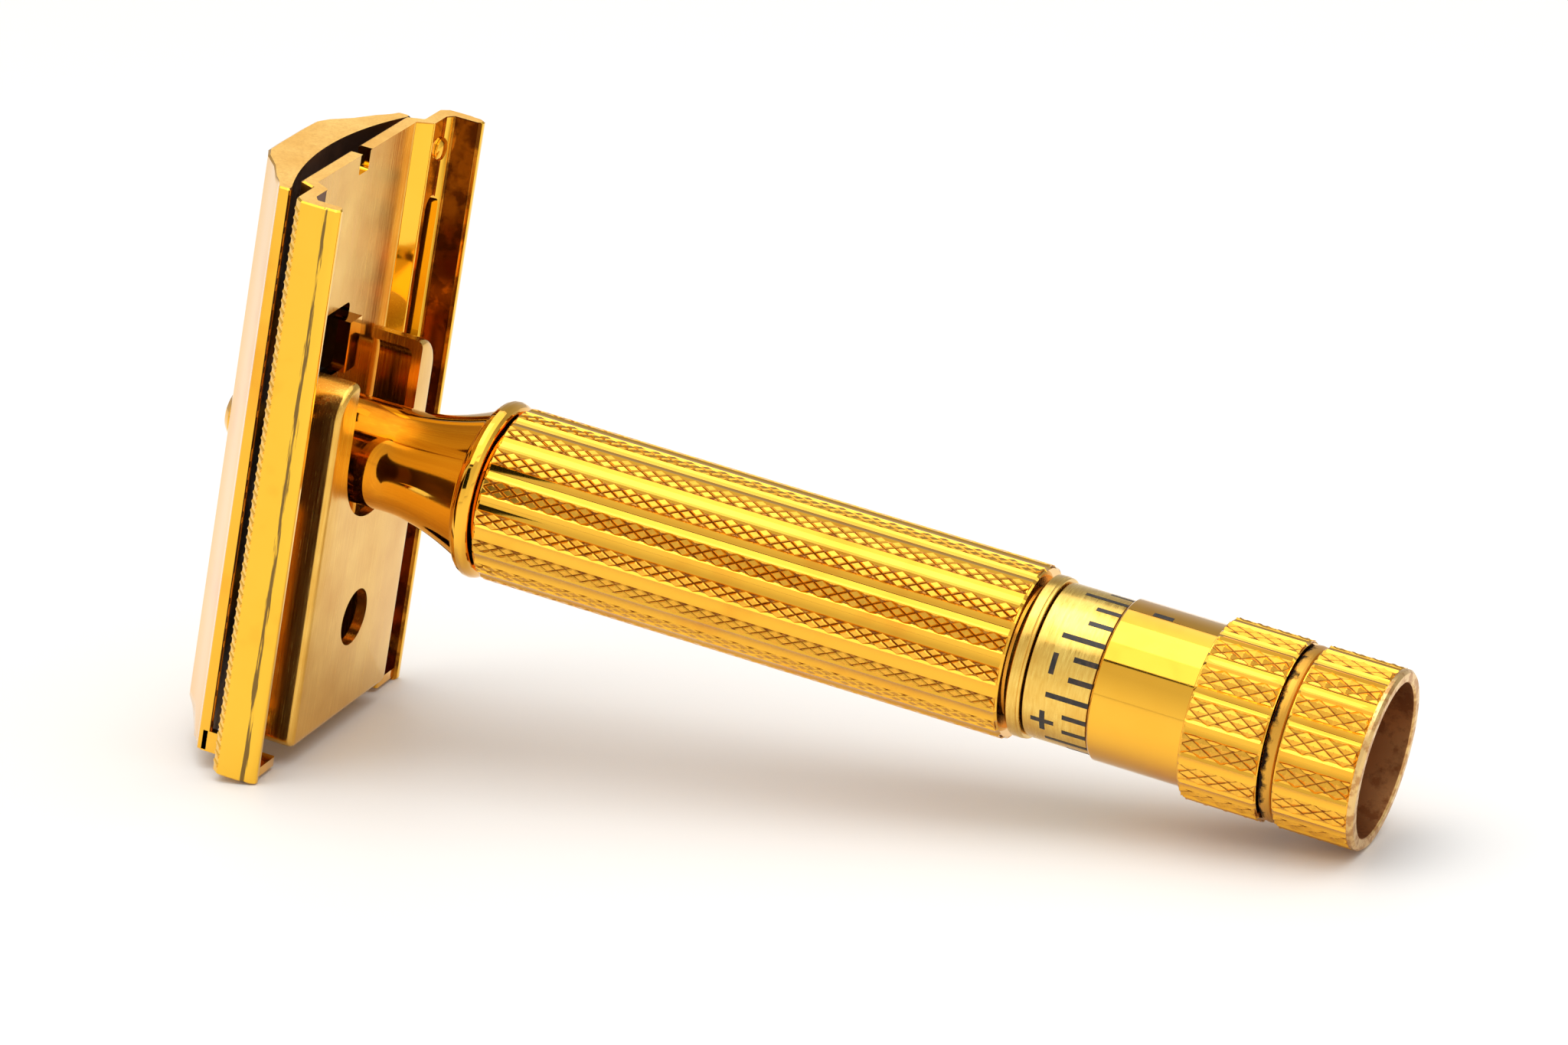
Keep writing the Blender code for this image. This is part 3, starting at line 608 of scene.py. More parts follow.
# %% Guard teeth
def tooth_row_tree():
    tree, add, given = new_tree("milled_edge", [
        ("Length", "NodeSocketFloat"), ("Pitch", "NodeSocketFloat"),
        ("Height", "NodeSocketFloat"), ("Side", "NodeSocketFloat"), ("Level", "NodeSocketFloat"),
        ("Stand out", "NodeSocketFloat"), ("Lean", "NodeSocketFloat"),
        ("Slant", "NodeSocketFloat")])
    gaps = add("ShaderNodeMath", {0: given["Length"], 1: given["Pitch"]}, operation="DIVIDE")
    count = add("ShaderNodeMath", {0: gaps}, operation="FLOOR")
    half = add("ShaderNodeMath", {0: count, 1: -1.0}, operation="ADD")
    reach = add("ShaderNodeMath", {0: half, 1: given["Pitch"]}, operation="MULTIPLY")
    first = add("ShaderNodeMath", {0: reach, 1: -0.5}, operation="MULTIPLY")
    start = add("ShaderNodeCombineXYZ", {0: first, 1: given["Side"], 2: given["Level"]})
    step = add("ShaderNodeCombineXYZ", {0: given["Pitch"]})
    points = add("GeometryNodeMeshLine", {
        "Count": count, "Start Location": start, "Offset": step}, mode="OFFSET")
    bar = add("GeometryNodeMeshCylinder", {
        "Vertices": 10, "Side Segments": 1, "Fill Segments": 1, "Radius": 0.5, "Depth": 1.0})
    width = add("ShaderNodeMath", {0: given["Pitch"], 1: 0.62}, operation="MULTIPLY")
    thick = add("ShaderNodeMath", {0: given["Stand out"], 1: 2.0}, operation="MULTIPLY")
    size = add("ShaderNodeCombineXYZ", {0: width, 1: thick, 2: given["Height"]})
    turn = add("ShaderNodeCombineXYZ", {0: given["Lean"], 1: given["Slant"]})
    row = add("GeometryNodeInstanceOnPoints", {
        "Points": points, "Instance": bar, "Scale": size, "Rotation": turn})
    close_tree(add, row, BUFFED)
    return tree


TOOTH_PITCH = 0.68
milled_edge = tooth_row_tree()
for side, tag in ((-1.0, "near"), (1.0, "far")):
    teeth = run_tree("guard_teeth_" + tag, milled_edge, {
        "Length": GUARD_HIGH.x - GUARD_LOW.x - 0.6, "Pitch": TOOTH_PITCH,
        "Height": 0.72, "Side": side * (HALF_WIDTH - 0.32), "Level": down(0.3),
        "Stand out": 0.1, "Lean": side * radians(43), "Slant": radians(24)}, "handle")

# %% [markdown]
# ### The bracket
#
# Under the guard is a shallow tray with two horns, which stand either side of the neck. It is
# drawn from sheet, so its face meets its walls in a small bend. The rings here are outlines of
# the tray, from the inside of its face, up the inner wall, over the rim, down the outer wall and
# round the bend to its outer face.

# %% Bracket
def bracket():
    half_width, foot, horns, wall, bend = 8.0, -20.2, 6.9, 0.75, 0.5
    face = 4.05

    def outline(inset, height):
        x0, x1, y = foot + inset, horns - inset, half_width - inset
        foot_r, horn_r = max(0.8 - inset, 0.08), max(2.4 - inset, 0.3)
        corners = (arc((x1 - horn_r, y - horn_r), horn_r, 0.0, pi / 2, 12)
                   + arc((x0 + foot_r, y - foot_r), foot_r, pi / 2, pi, 6)
                   + arc((x0 + foot_r, foot_r - y), foot_r, pi, 3 * pi / 2, 6)
                   + arc((x1 - horn_r, horn_r - y), horn_r, -pi / 2, 0.0, 12))
        return [(x, y, height) for x, y in corners]

    rings = [outline(wall + 0.3, down(face - wall)), outline(wall, down(face - wall - 0.3)),
             outline(wall, down(0.06)), outline(0.0, down(0.06))]
    rings += [outline(bend * (1 - cos(t)), down(face - bend * (1 - sin(t))))
              for t in (pi / 2 * i / 5 for i in range(6))]
    tray = loft("bracket_pressed", rings, BRUSHED, "handle")
    slot_half, slot_middle, hole = 5.3, 0.8, 2.1
    punched = [arc((slot_middle, 0.0), slot_half, pi / 2, 3 * pi / 2, 32)
               + [(9.0, -slot_half), (9.0, slot_half)]]
    punch(tray, punched, down(5.0), down(-2.0))
    punch(tray, [arc((PIN_X, 0.0), hole, 0.0, 2 * pi * 47 / 48, 48)], down(5.0), down(2.5))
    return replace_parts(tray, "head_bracket")


bracket()

# %% [markdown]
# ### The cap
#
# The cap is thick, because it bends the blade down over the guard. Across it runs a low skirt,
# a shallow cove, a flank and a flat crown, and its underside is hollow. At the upper end it is
# cut off flat. At the lower end its crown is rounded over, so there each section is kept
# under a quarter circle.

# %% Cap
def cap():
    low, high = own_box("cap")
    crown, skirt, hollow, end_round = 6.0, 1.35, 3.1, 3.0
    half, chord = high.y, high.y - 0.4
    cove = [(half - 0.05, 2.2), (half - 0.55, 2.42), (half - 1.1, 2.75), (8.35, 3.25)]
    flank = [(6.5, 4.25), (4.95, 5.45), (3.85, 5.93), (2.0, crown), (0.7, crown)]
    rise = hollow - skirt
    radius = (chord ** 2 + rise ** 2) / (2 * rise)
    reach = atan2(chord, radius - rise)
    under = arc((0.0, hollow - radius), radius, pi / 2 - reach, pi / 2 - 0.01, 24)
    half_section = list(reversed(flank)) + list(reversed(cove)) + [(half, 2.05), (half, skirt)]
    section = fillet(mirrored([(y, down(-h)) for y, h in half_section + under]), 0.2)

    def under_the_round(x, y, z):
        past = low.x + end_round - x
        if past <= 0:
            return x, y, z
        limit = crown - end_round + (max(end_round ** 2 - past ** 2, 0.0)) ** 0.5
        return x, y, min(z, down(-limit) + 0.02 * (z - down(-crown)))

    body = swept("cap_pressed", section, low.x, high.x, BUFFED, "cap", stations=90,
                 shape=under_the_round)
    finish_where(body, SATIN, lambda at, facing: facing.x > 0.9)
    # painted shade on the cap's hollow underside, over the guard
    finish_where(body, PAINTED_SHADE_PLATING, lambda at, facing: facing.z < -0.7 and at.z > down(-1.36))
    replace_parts(body, "cap")
    for side, tag in ((-1, "near"), (1, "far")):
        outline = fillet([(side * (half - 0.65), down(-0.42)), (side * half, down(-0.42)),
                          (side * half, down(-2.0)), (side * (half - 0.65), down(-2.0))], 0.12)
        foot = loft("cap_foot_" + tag, [[(x, y, z) for y, z in outline]
                                        for x in (low.x + 0.02, low.x + 1.55)], BUFFED, "cap")


cap()

# %% [markdown]
# The stud that carries the cap is riveted over on the crown, which leaves a dome. Only its head
# shows, but the stud is turned whole, as the CAD has it. The little rivet at the guard's
# upper corner is made the same way.

# %% Stud and rivet
dome = [(2.3 * cos(t), down(-6.02) + 1.65 * sin(t)) for t in (1.56, 1.2, 0.85, 0.5, 0.2, 0.0)]
stud = turned("stud_riveted", dome + [(1.45, down(-6.02)), (1.45, down(8.6)),
                                      (1.05, down(9.0)), (0.02, down(9.0))],
              BUFFED, "cap", round_off=0.06, steps=64)
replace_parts(stud, "cap_stud")


def small_rivet():
    shank, head, under = 0.52, 0.85, 0.95
    rings = []
    for r, a in ((0.02, 0.3), (shank, 0.3), (shank, under + 0.02), (head, under + 0.02),
                 (head, under + 0.16), (head * 0.8, under + 0.34), (head * 0.4, under + 0.44),
                 (0.02, under + 0.45)):
        rings.append([(RIVET_X + r * cos(t), RIVET_Y + r * sin(t), down(a))
                      for t in (2 * pi * j / 32 for j in range(32))])
    return loft("rivet_upset", rings, BUFFED, "handle")


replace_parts(small_rivet(), "guard_rivet")

# %% [markdown]
# ## The handle
#
# The neck flares like a trumpet into a bead. Its curve is a power law: nearly a straight tube at
# first, and opening faster and faster towards the bead.

# %% Neck
NECK_RADIUS, FLARE = 3.76, 1.8
flare = [(NECK_RADIUS, down(0.12)), (NECK_RADIUS, down(5.6))]
# many rings, because a polished flare shows every one of them in its reflections
flare += [(NECK_RADIUS + FLARE * t ** 1.75, down(5.9 + 6.25 * t))
          for t in (i / 60 for i in range(1, 61))]
bead = [(5.65 + 0.75 * cos(t), down(13.05) + 0.75 * sin(t))
        for t in (1.25, 0.9, 0.55, 0.2, -0.2, -0.55, -0.9, -1.25)]
neck = turned("neck_trumpet", flare + bead + [(4.6, down(13.8)), (4.6, down(18.2)),
                                              (2.6, down(18.2)), (2.6, down(0.12))],
              BUFFED, "handle", round_off=0.1, steps=192, crease=40.0)
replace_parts(neck, "neck")

# %% [markdown]
# ### Flutes and knurling
#
# Seventeen shallow flutes run down the grip. Between them stand bands of fine diamonds, cut by
# two wheels whose lines cross. The tube with its flutes is a loft whose rings
# are not circles: each radius depends on how far round it is in its band.
#
# The diamonds could be pressed in by a bump texture, but they show in the outline against the
# light. So each one is a little pyramid. There are thousands, so Geometry Nodes lays
# them out flat, as if the handle was unrolled, and then rolls the sheet up round the axis.

# %% Fluted tubes
def fluted_tube(name, radius, bore, top, bottom, bands, band_share, cut, flute, turn, body,
                chamfer=0.2):
    """A tube with flutes. cut is how deep the knurled bands lie, flute how deep the flutes are."""
    per_band = 14
    shape = []
    for i in range(bands * per_band):
        place = (i % per_band) / per_band
        inside = abs(place - 0.5) * 2          # 0 at the middle of the flute, 1 at the band's
        edge = 1 - band_share
        if inside > edge:
            depth = cut
        else:
            depth = flute * (1 - (inside / edge) ** 2)
        shape.append((2 * pi * i / (bands * per_band) + turn, radius - depth))
    stack = [(bottom, 1.0), (bottom, 0.0), (bottom + chamfer, None), (top - chamfer, None),
             (top, 0.0), (top, 1.0)]
    rings = []
    for z, inner in stack:
        ring = []
        for t, r in shape:
            if inner == 1.0:
                r = bore
            elif inner == 0.0:
                r = min(r, radius - chamfer)
            ring.append((r * cos(t), r * sin(t), z))
        rings.append(ring)
    tube = loft(name, rings, BUFFED, body, joined=True, crease=25.0)
    # the floors of the cuts between the diamonds get painted shade
    tube.data.materials.append(CUT_SHADE)
    for face in tube.data.polygons:
        at = STAND_UP @ face.center / MM
        place = (atan2(at.y, at.x) - turn) / (2 * pi) * bands % 1.0
        floor_of_cuts = abs(place - 0.5) * 2 > 1 - 0.72 * band_share
        outside = at.x ** 2 + at.y ** 2 > (radius - 2 * cut) ** 2
        if floor_of_cuts and outside and bottom + chamfer < at.z < top - chamfer:
            face.material_index = 1
    return tube


# %% [markdown]
# The diamonds and the scale's marks are rolled up alike, so `roll_up` is shared: on the flat
# sheet x runs down the handle and y round it, and z stands out from the tube.

# %% Diamonds
def roll_up(add, sheet, flat, radius, foot, top, turn=0.0):
    """The sheet rolled round the axis. foot is the radius of its underside, turn its start."""
    math = "ShaderNodeMath"
    angle = add(math, {0: flat[1], 1: radius}, operation="DIVIDE")
    angle = add(math, {0: angle, 1: turn}, operation="ADD")
    out = add(math, {0: flat[2], 1: foot}, operation="ADD")
    around = []
    for share in ("COSINE", "SINE"):
        part = add(math, {0: angle}, operation=share)
        around.append(add(math, {0: part, 1: out}, operation="MULTIPLY"))
    height = add(math, {0: top, 1: flat[0]}, operation="SUBTRACT")
    rolled = add("ShaderNodeCombineXYZ", {0: around[0], 1: around[1], 2: height})
    return add("GeometryNodeSetPosition", {"Geometry": sheet, "Position": rolled})


def diamond_tree():
    tree, add, given = new_tree("diamond_knurling", [
        ("Bands", "NodeSocketInt"), ("Rows", "NodeSocketInt"), ("Steps", "NodeSocketInt"),
        ("Pitch", "NodeSocketFloat"), ("Width", "NodeSocketFloat"), ("Depth", "NodeSocketFloat"),
        ("Flat top", "NodeSocketFloat"), ("Radius", "NodeSocketFloat"), ("Top", "NodeSocketFloat"),
        ("Length", "NodeSocketFloat"), ("Turn", "NodeSocketFloat"), ("Seed", "NodeSocketInt"),
        ("Finish", "NodeSocketMaterial")])
    math, index = "ShaderNodeMath", add("GeometryNodeInputIndex")
    in_band = add(math, {0: given["Rows"], 1: given["Steps"]}, operation="MULTIPLY")
    total = add(math, {0: in_band, 1: given["Bands"]}, operation="MULTIPLY")
    # which band, which row across it and which step along it a point belongs to
    band = add(math, {0: index, 1: in_band}, operation="DIVIDE")
    band = add(math, {0: band}, operation="FLOOR")
    rest = add(math, {0: index, 1: in_band}, operation="MODULO")
    row = add(math, {0: rest, 1: given["Steps"]}, operation="DIVIDE")
    row = add(math, {0: row}, operation="FLOOR")
    along = add(math, {0: rest, 1: given["Steps"]}, operation="MODULO")
    # every other row is shifted by half a pitch
    odd = add(math, {0: row, 1: 2.0}, operation="MODULO")
    shift = add(math, {0: odd, 1: 0.5, 2: along}, operation="MULTIPLY_ADD")
    x = add(math, {0: shift, 1: given["Pitch"]}, operation="MULTIPLY")
    half_rows = add(math, {0: given["Rows"], 1: -0.5, 2: 0.5}, operation="MULTIPLY_ADD")
    off = add(math, {0: row, 1: half_rows}, operation="ADD")
    half_width = add(math, {0: given["Width"], 1: 0.5}, operation="MULTIPLY")
    off = add(math, {0: off, 1: half_width}, operation="MULTIPLY")
    round_it = add(math, {0: given["Radius"], 1: 2 * pi}, operation="MULTIPLY")
    apart = add(math, {0: round_it, 1: given["Bands"]}, operation="DIVIDE")
    y = add(math, {0: band, 1: apart, 2: off}, operation="MULTIPLY_ADD")
    spot = add("ShaderNodeCombineXYZ", {0: x, 1: y})
    points = add("GeometryNodePoints", {"Count": total, "Position": spot})
    # one pyramid, its lower corners on the sheet, and a little worn by chance
    pyramid = add("GeometryNodeMeshCone", {
        "Vertices": 4, "Side Segments": 1, "Fill Segments": 1, "Radius Top": given["Flat top"],
        "Radius Bottom": 1.0, "Depth": 1.0})
    half_pitch = add(math, {0: given["Pitch"], 1: 0.5}, operation="MULTIPLY")
    worn = add("FunctionNodeRandomValue", {
        2: 0.86, 3: 1.0, "Seed": given["Seed"]}, data_type="FLOAT")
    tall = add(math, {0: given["Depth"], 1: worn.outputs[1]}, operation="MULTIPLY")
    size = add("ShaderNodeCombineXYZ", {0: half_pitch, 1: half_width, 2: tall})
    sheet = add("GeometryNodeInstanceOnPoints", {
        "Points": points, "Instance": pyramid, "Scale": size})
    sheet = add("GeometryNodeRealizeInstances", {0: sheet})
    flat = add("ShaderNodeSeparateXYZ", {0: add("GeometryNodeInputPosition")})
    kept = add("ShaderNodeClamp", {"Value": flat.outputs[0], "Min": 0.0, "Max": given["Length"]})
    foot = add(math, {0: given["Radius"], 1: given["Depth"]}, operation="SUBTRACT")
    tube = roll_up(add, sheet, (kept, flat.outputs[1], flat.outputs[2]), given["Radius"], foot,
                   given["Top"], given["Turn"])
    close_tree(add, tube, given["Finish"])
    return tree


diamond_knurling = diamond_tree()
print("diamond tree: %d nodes" % len(diamond_knurling.nodes))


def knurled_stretch(tag, radius, bore, top, bottom, bands, band_mm, pitch, width, depth, flat,
                    flute, middle, body, shade_ends, margins=(0.15, 0.15), seed=1):
    """A fluted tube and the diamonds on its bands. middle is the angle of one band's middle."""
    finish = knurled_gold_plate("knurled_gold_plate_" + tag, radius, depth, shade_ends)
    share = band_mm * bands / (2 * pi * radius)
    tube = fluted_tube(tag + "_fluted", radius, bore, top, bottom, bands, share, depth, flute,
                       middle, body)
    length = top - bottom - sum(margins)
    diamonds = run_tree(tag + "_diamonds", diamond_knurling, {
        "Bands": bands, "Rows": 3, "Steps": ceil(length / pitch) + 1, "Pitch": pitch,
        "Width": width, "Depth": depth, "Flat top": flat, "Radius": radius,
        "Top": top - margins[0], "Length": length, "Turn": middle, "Seed": seed,
        "Finish": finish}, body, crease=15.0)
    return tube


# %% Grip
grip_low, grip_high = own_box("grip_tube")
grip = knurled_stretch("grip", grip_high.y, 4.75, grip_high.z, grip_low.z, bands=17, band_mm=1.3,
                       pitch=1.27, width=0.68, depth=0.14, flat=0.62, flute=0.11,
                       middle=radians(-66.8), body="handle", shade_ends=0.5)
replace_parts(grip, "grip_tube")

# %% [markdown]
# ## Collar and scale
#
# Below the grip comes a smooth collar with a fine turned line, then the barrel with the scale.
# The scale is cut and filled with black enamel: a short mark each fifteen degrees, and a long
# one every third. The same roll-up makes them: bars laid out flat, then rolled round the barrel.

# %% Collar and barrel
collar_low, collar_high = own_box("lower_collar")
barrel_low, barrel_high = own_box("scale_barrel")
COLLAR, BARREL = 5.75, barrel_high.y
line = 54.75
collar = turned("collar_turned", [
    (4.6, down(49.8)), (4.6, down(53.8)), (COLLAR - 0.3, down(53.8)), (COLLAR, down(54.05)),
    (COLLAR, down(line - 0.06)), (COLLAR - 0.08, down(line)), (COLLAR - 0.02, down(line + 0.06)),
    (COLLAR - 0.06, down(54.98)), (1.95, down(54.98)), (1.95, down(49.8))], TURNED_BRASS, "handle",
    round_off=0.08)
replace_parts(collar, "lower_collar")
barrel = turned("barrel_turned", [
    (BARREL - 0.02, barrel_high.z), (BARREL - 0.02, down(59.8)), (5.05, down(59.8)),
    (5.05, barrel_low.z), (3.6, barrel_low.z), (3.6, barrel_high.z)], TURNED_BRASS, "handle")
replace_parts(barrel, "scale_barrel")


# %% Scale marks
def mark_tree():
    tree, add, given = new_tree("rolled_marks", [
        ("Count", "NodeSocketInt"), ("Every", "NodeSocketFloat"), ("First", "NodeSocketFloat"),
        ("End", "NodeSocketFloat"), ("Short", "NodeSocketFloat"), ("Long", "NodeSocketFloat"),
        ("Long every", "NodeSocketInt"), ("Wide", "NodeSocketFloat"), ("Radius", "NodeSocketFloat"),
        ("Proud", "NodeSocketFloat"), ("Finish", "NodeSocketMaterial")])
    math, index = "ShaderNodeMath", add("GeometryNodeInputIndex")
    turn = add(math, {0: index, 1: given["Every"], 2: given["First"]}, operation="MULTIPLY_ADD")
    y = add(math, {0: turn, 1: given["Radius"]}, operation="MULTIPLY")
    which = add(math, {0: index, 1: given["Long every"]}, operation="MODULO")
    short = add(math, {0: which, 1: 0.5}, operation="GREATER_THAN")
    gap = add(math, {0: given["Short"], 1: given["Long"]}, operation="SUBTRACT")
    length = add(math, {0: short, 1: gap, 2: given["Long"]}, operation="MULTIPLY_ADD")
    back = add(math, {0: length, 1: -0.5, 2: given["End"]}, operation="MULTIPLY_ADD")
    spot = add("ShaderNodeCombineXYZ", {0: back, 1: y})
    points = add("GeometryNodePoints", {"Count": given["Count"], "Position": spot})
    bar = add("GeometryNodeMeshCube", {
        "Size": (1.0, 1.0, 1.0), "Vertices X": 2, "Vertices Y": 9, "Vertices Z": 2})
    thick = add(math, {0: given["Proud"], 1: 2.0}, operation="MULTIPLY")
    size = add("ShaderNodeCombineXYZ", {0: length, 1: given["Wide"], 2: thick})
    sheet = add("GeometryNodeInstanceOnPoints", {"Points": points, "Instance": bar, "Scale": size})
    sheet = add("GeometryNodeRealizeInstances", {0: sheet})
    flat = add("ShaderNodeSeparateXYZ", {0: add("GeometryNodeInputPosition")}).outputs
    tube = roll_up(add, sheet, flat, given["Radius"], given["Radius"], EDGE)
    close_tree(add, tube, given["Finish"])
    return tree


rolled_marks = mark_tree()
print("mark tree: %d nodes" % len(rolled_marks.nodes))


def marks(name, body, radius, end, short, long, first, wide=0.38, count=1, every=0.0,
          long_every=1):
    made = run_tree(name, rolled_marks, {
        "Count": count, "Every": every, "First": radians(first), "End": end, "Short": short,
        "Long": long, "Long every": long_every, "Wide": wide, "Radius": radius, "Proud": 0.012,
        "Finish": ENAMEL}, body)
    return made


TICK_STEP = 15                           # degrees from one scale mark to the next
scale_radius = BARREL - 0.02
marks("scale_ticks", "handle", scale_radius, end=59.79, short=1.75, long=3.1, first=-92.6,
      count=360 // TICK_STEP, every=radians(TICK_STEP), long_every=3)
marks("minus_sign", "handle", scale_radius, end=56.93, short=0.38, long=0.38, first=-69.3,
      wide=1.5)
marks("plus_sign_round", "handle", scale_radius, end=56.79, short=0.38, long=0.38, first=-116.5,
      wide=1.85)
marks("plus_sign_along", "handle", scale_radius, end=57.45, short=1.68, long=1.68, first=-116.5)

# %% [markdown]
# ## The knob
#
# The knob turns the spindle. A plain sleeve runs over the barrel, and the knurled part has the
# same bands as the grip, but with coarser and sharper diamonds. A groove parts it in two. The
# core is turned in one piece; the two knurled stretches sit on it as tubes of their own.

# %% Knob core
SLEEVE, KNOB, CORE, BORE = 5.78, own_box("adjusting_knob")[1].y, 5.85, 5.5
core = turned("knob_core", [
    (5.15, down(59.9)), (SLEEVE - 0.15, down(59.9)), (SLEEVE - 0.02, down(60.05)),
    (SLEEVE - 0.02, down(66.72)), (KNOB - 0.35, down(66.72)), (KNOB - 0.1, down(66.95)),
    (CORE, down(67.0)), (CORE, down(72.45)), (5.7, down(72.5)), (5.7, down(73.6)),
    (CORE, down(73.65)), (CORE, down(79.0)), (KNOB - 0.06, down(79.0)), (KNOB - 0.06, down(79.3)),
    (KNOB - 0.25, 0.0), (BORE + 0.1, 0.0), (BORE, 0.15), (BORE, down(69.4)), (1.3, down(69.4)),
    (1.3, down(66.5)), (5.15, down(66.5))], BUFFED, "knob", round_off=0.05, steps=192)
core.data.materials.append(WORN_BORE)
core.data.materials.append(PALE_RIM)
for face in core.data.polygons:
    at = STAND_UP @ face.center / MM
    reach = (at.x ** 2 + at.y ** 2) ** 0.5
    if reach < BORE + 0.03:
        face.material_index = 1
    elif at.z < 0.35:
        face.material_index = 2
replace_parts(core, "adjusting_knob")

# %% Knurled stretches and the sleeve's mark
for tag, top, bottom, seed in (("knob_upper", 66.8, 72.48, 3), ("knob_lower", 73.62, 79.15, 5)):
    knurled_stretch(tag, KNOB, CORE - 0.1, down(top), down(bottom), bands=16, band_mm=1.7,
                    pitch=1.45, width=0.86, depth=0.2, flat=0.1, flute=0.14,
                    middle=radians(-71.3), body="knob", shade_ends=0.8, margins=(0.1, 0.1), seed=seed)
marks("index_mark", "knob", SLEEVE - 0.02, end=63.25, short=1.45, long=1.45, first=-8.0, wide=0.45)

# %% [markdown]
# A wire lies in the groove, almost hidden, patched with dark brown that gathers on its side
# towards the head. Its section is a flattened circle, so that it fills the groove from side to
# side.

# %% Wire in the groove
wire = turned("groove_wire", [(5.98 + 0.26 * cos(t), down(73.05) + 0.47 * sin(t))
                              for t in (2 * pi * i / 14 for i in range(14))],
              DARK_PATCHED_WIRE, "knob", round_off=0.01)
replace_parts(wire, "groove_ring")

# %% [markdown]
# ## Inside
#
# The spindle, its bushes, socket, spring and washers keep their CAD shapes: nobody sees them
# until the cap is raised or the knob's hollow end is looked into. They get real metals all the
# same: bronze where something runs on them, and steel for what turns or springs.

# %% Finishes of the inner parts
inner = {
    BRONZE: ("upper_bush", "lower_bush", "threaded_socket", "spring_seat", "thrust_washer"),
    STEEL: ("drive_spindle", "cross_pin", "tension_spring", "spring_clip", "knob_screw",
            "knob_washer"),
    BUFFED: ("locating_pin", "locating_lug")}
for finish, nodes in inner.items():
    for node in nodes:
        mesh = frame["nodes"][node].data
        mesh.materials.clear()
        mesh.materials.append(finish)
print("inner parts finished:", sum(len(nodes) for nodes in inner.values()))

# %% [markdown]
# ## The studio
#
# Polished metal shows the room more than itself. A wide soft light hangs over the razor, with a
# brighter core straight above, and it ends at about forty-five degrees. Below that the room is
# grey, lighter in front than behind. A small black card, which only reflections see, draws the
# dark patch on the neck. The floor is plain and pale.

# %% Floor and lights
def floor():
    half = 3.0
    mesh = bpy.data.meshes.new("floor")
    mesh.from_pydata([(-half, -half, 0), (half, -half, 0), (half, half, 0), (-half, half, 0)], [],
                     [(0, 1, 2, 3)])
    ground = bpy.data.objects.new("floor", mesh)
    COLLECTION.objects.link(ground)
    paint = bpy.data.materials.new("pale_floor")
    paint.use_nodes = True
    shader = paint.node_tree.nodes["Principled BSDF"]
    shader.inputs["Base Color"].default_value = linear("#F1F0EE")
    shader.inputs["Roughness"].default_value = 0.45
    mesh.materials.append(paint)


def softbox(name, width, depth, height, y, watts):
    lamp = bpy.data.lights.new(name, "AREA")
    lamp.shape = "RECTANGLE"
    lamp.size, lamp.size_y = width, depth
    lamp.energy = watts
    holder = bpy.data.objects.new(name, lamp)
    holder.location = (0.0, y, height)
    COLLECTION.objects.link(holder)


def room():
    """Grey all round: lighter in front, dimmer behind, with the softbox's dark edge above."""
    world = bpy.data.worlds.new("room")
    bpy.context.scene.world = world
    world.use_nodes = True
    tree = world.node_tree
    add = partial(add_node, tree)
    look = add("ShaderNodeTexCoord").outputs["Generated"]
    towards = add("ShaderNodeSeparateXYZ", {0: look})
    level = add("ShaderNodeMapRange", {
        "Value": towards.outputs[1], "From Min": -0.2, "From Max": 0.5, "To Min": 0.78,
        "To Max": 0.42})
    low = add("ShaderNodeMapRange", {
        "Value": towards.outputs[2], "From Max": 0.5, "To Min": 1.35, "To Max": 1.0})
    level = add("ShaderNodeMath", {0: level, 1: low}, operation="MULTIPLY")
    edge = add("ShaderNodeMath", {0: towards.outputs[2], 1: 0.70, 2: 0.018}, operation="COMPARE")
    light = add("ShaderNodeMix", {"Factor": edge, 2: level, 3: 0.05}, data_type="FLOAT")
    tree.links.new(light.outputs[0], tree.nodes["Background"].inputs["Strength"])
    tree.nodes["Background"].inputs["Color"].default_value = linear("#FFFDFA")


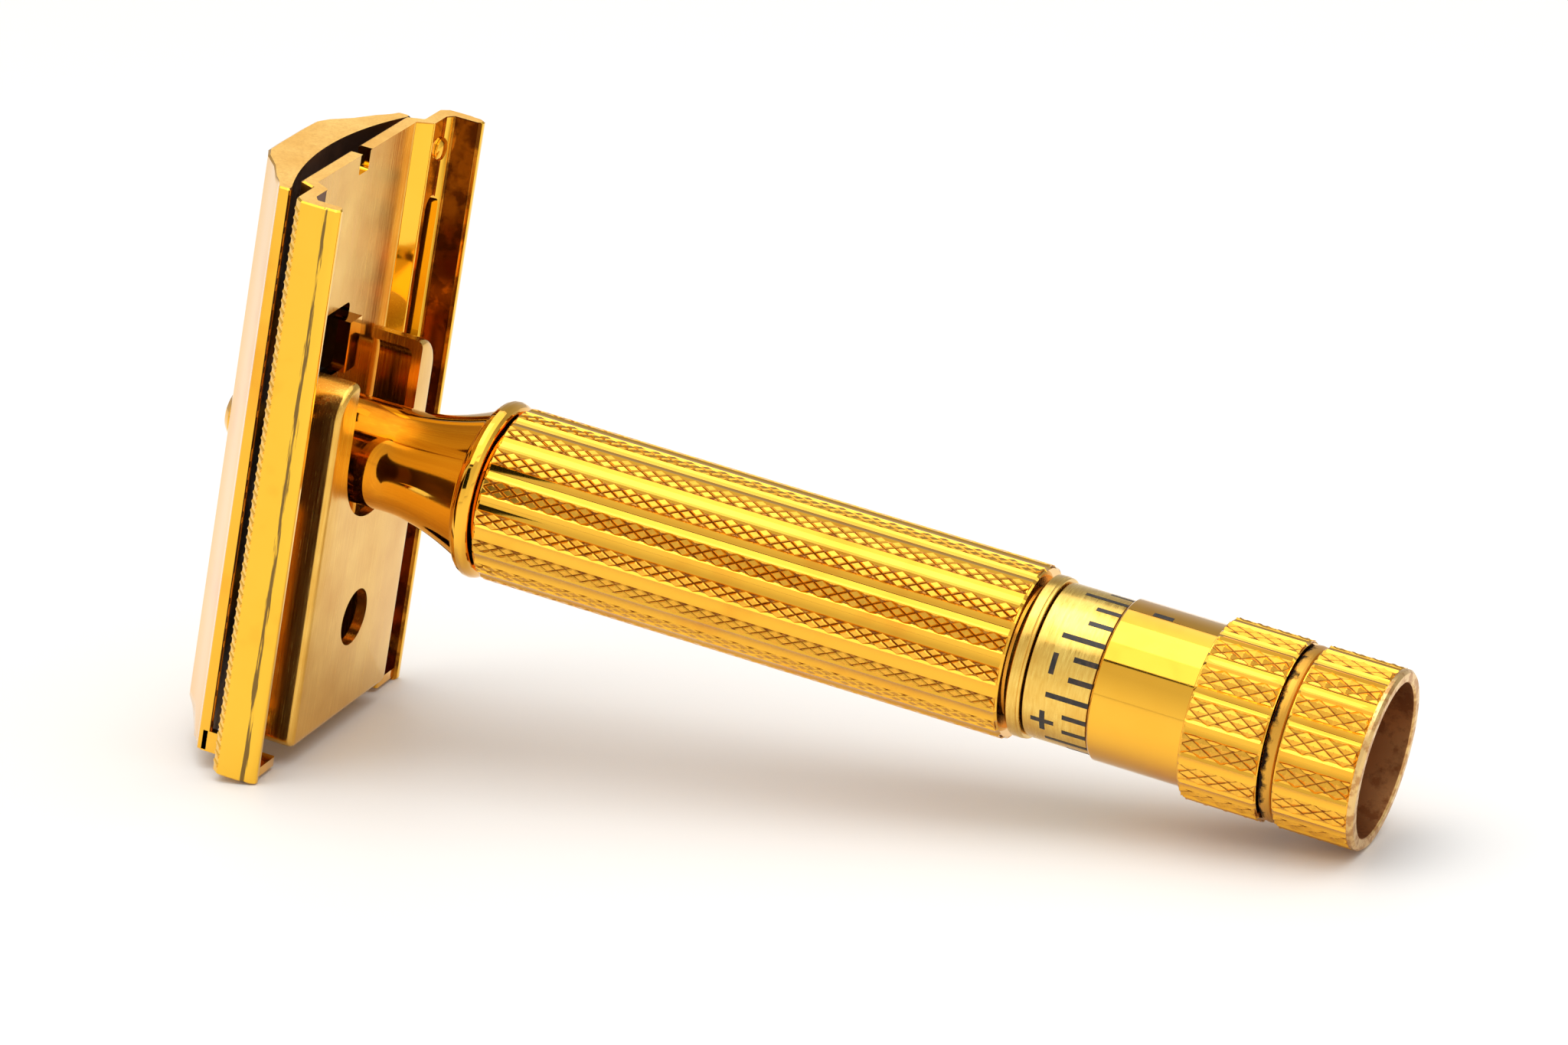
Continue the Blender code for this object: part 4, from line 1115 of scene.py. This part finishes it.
def black_card():
    """A card that only reflections see: it draws the dark patch along the polished neck."""
    along, distance, half_width, half_height = Vector((1.0, 0.0, 0.0)), 0.060, 0.009, 0.013
    neck_middle = LAY_DOWN @ (Vector((0.0, 0.0, down(7.5))) * MM)
    away = Vector((-0.209, -0.865, 0.457))
    centre = neck_middle + away * distance
    side = along * half_width
    rise = away.cross(along).normalized() * half_height
    mesh = bpy.data.meshes.new("black_card")
    mesh.from_pydata([centre - side - rise, centre + side - rise, centre + side + rise,
                      centre - side + rise], [], [(0, 1, 2, 3)])
    card = bpy.data.objects.new("black_card", mesh)
    COLLECTION.objects.link(card)
    felt = bpy.data.materials.new("black_felt")
    felt.use_nodes = True
    felt.node_tree.nodes["Principled BSDF"].inputs["Base Color"].default_value = linear("#0B0B0B")
    felt.node_tree.nodes["Principled BSDF"].inputs["Roughness"].default_value = 1.0
    mesh.materials.append(felt)
    card.visible_camera = card.visible_diffuse = card.visible_shadow = False


floor()
softbox("wide_softbox", 1.1, 1.03, 0.55, 0.02, 4.0)
softbox("softbox_core", 0.30, 0.30, 0.50, 0.0, 0.36)
room()
black_card()
bpy.context.scene.view_settings.view_transform = "Standard"
print("lights:", sorted(lamp.name for lamp in bpy.data.lights))

# %% [markdown]
# The camera stands far back with a long lens, a little to the knob's side and a little above, so
# that the head looks nearly square on and the handle comes towards the viewer.

# %% Camera
AZIMUTH, ELEVATION, ROLL = radians(22.29), radians(17.79), radians(-1.40)
TARGET, DISTANCE, LENS = Vector((-0.37, 0.0, 18.98)) * MM, 591.1 * MM, 197.2
forward = Vector((-sin(AZIMUTH) * cos(ELEVATION), cos(AZIMUTH) * cos(ELEVATION), -sin(ELEVATION)))
level = Vector((cos(AZIMUTH), sin(AZIMUTH), 0.0))
above = level.cross(forward)
right = level * cos(ROLL) + above * sin(ROLL)
upward = above * cos(ROLL) - level * sin(ROLL)
lens = bpy.data.cameras.new("camera")
lens.lens, lens.sensor_width = LENS, 36.0
camera = bpy.data.objects.new("camera", lens)
camera.matrix_world = Matrix.Translation(TARGET - forward * DISTANCE) @ Matrix(
    (right, upward, -forward)).transposed().to_4x4()
COLLECTION.objects.link(camera)
bpy.context.scene.camera = camera
print("camera %.0f mm away, %.0f mm lens" % (DISTANCE / MM, LENS))
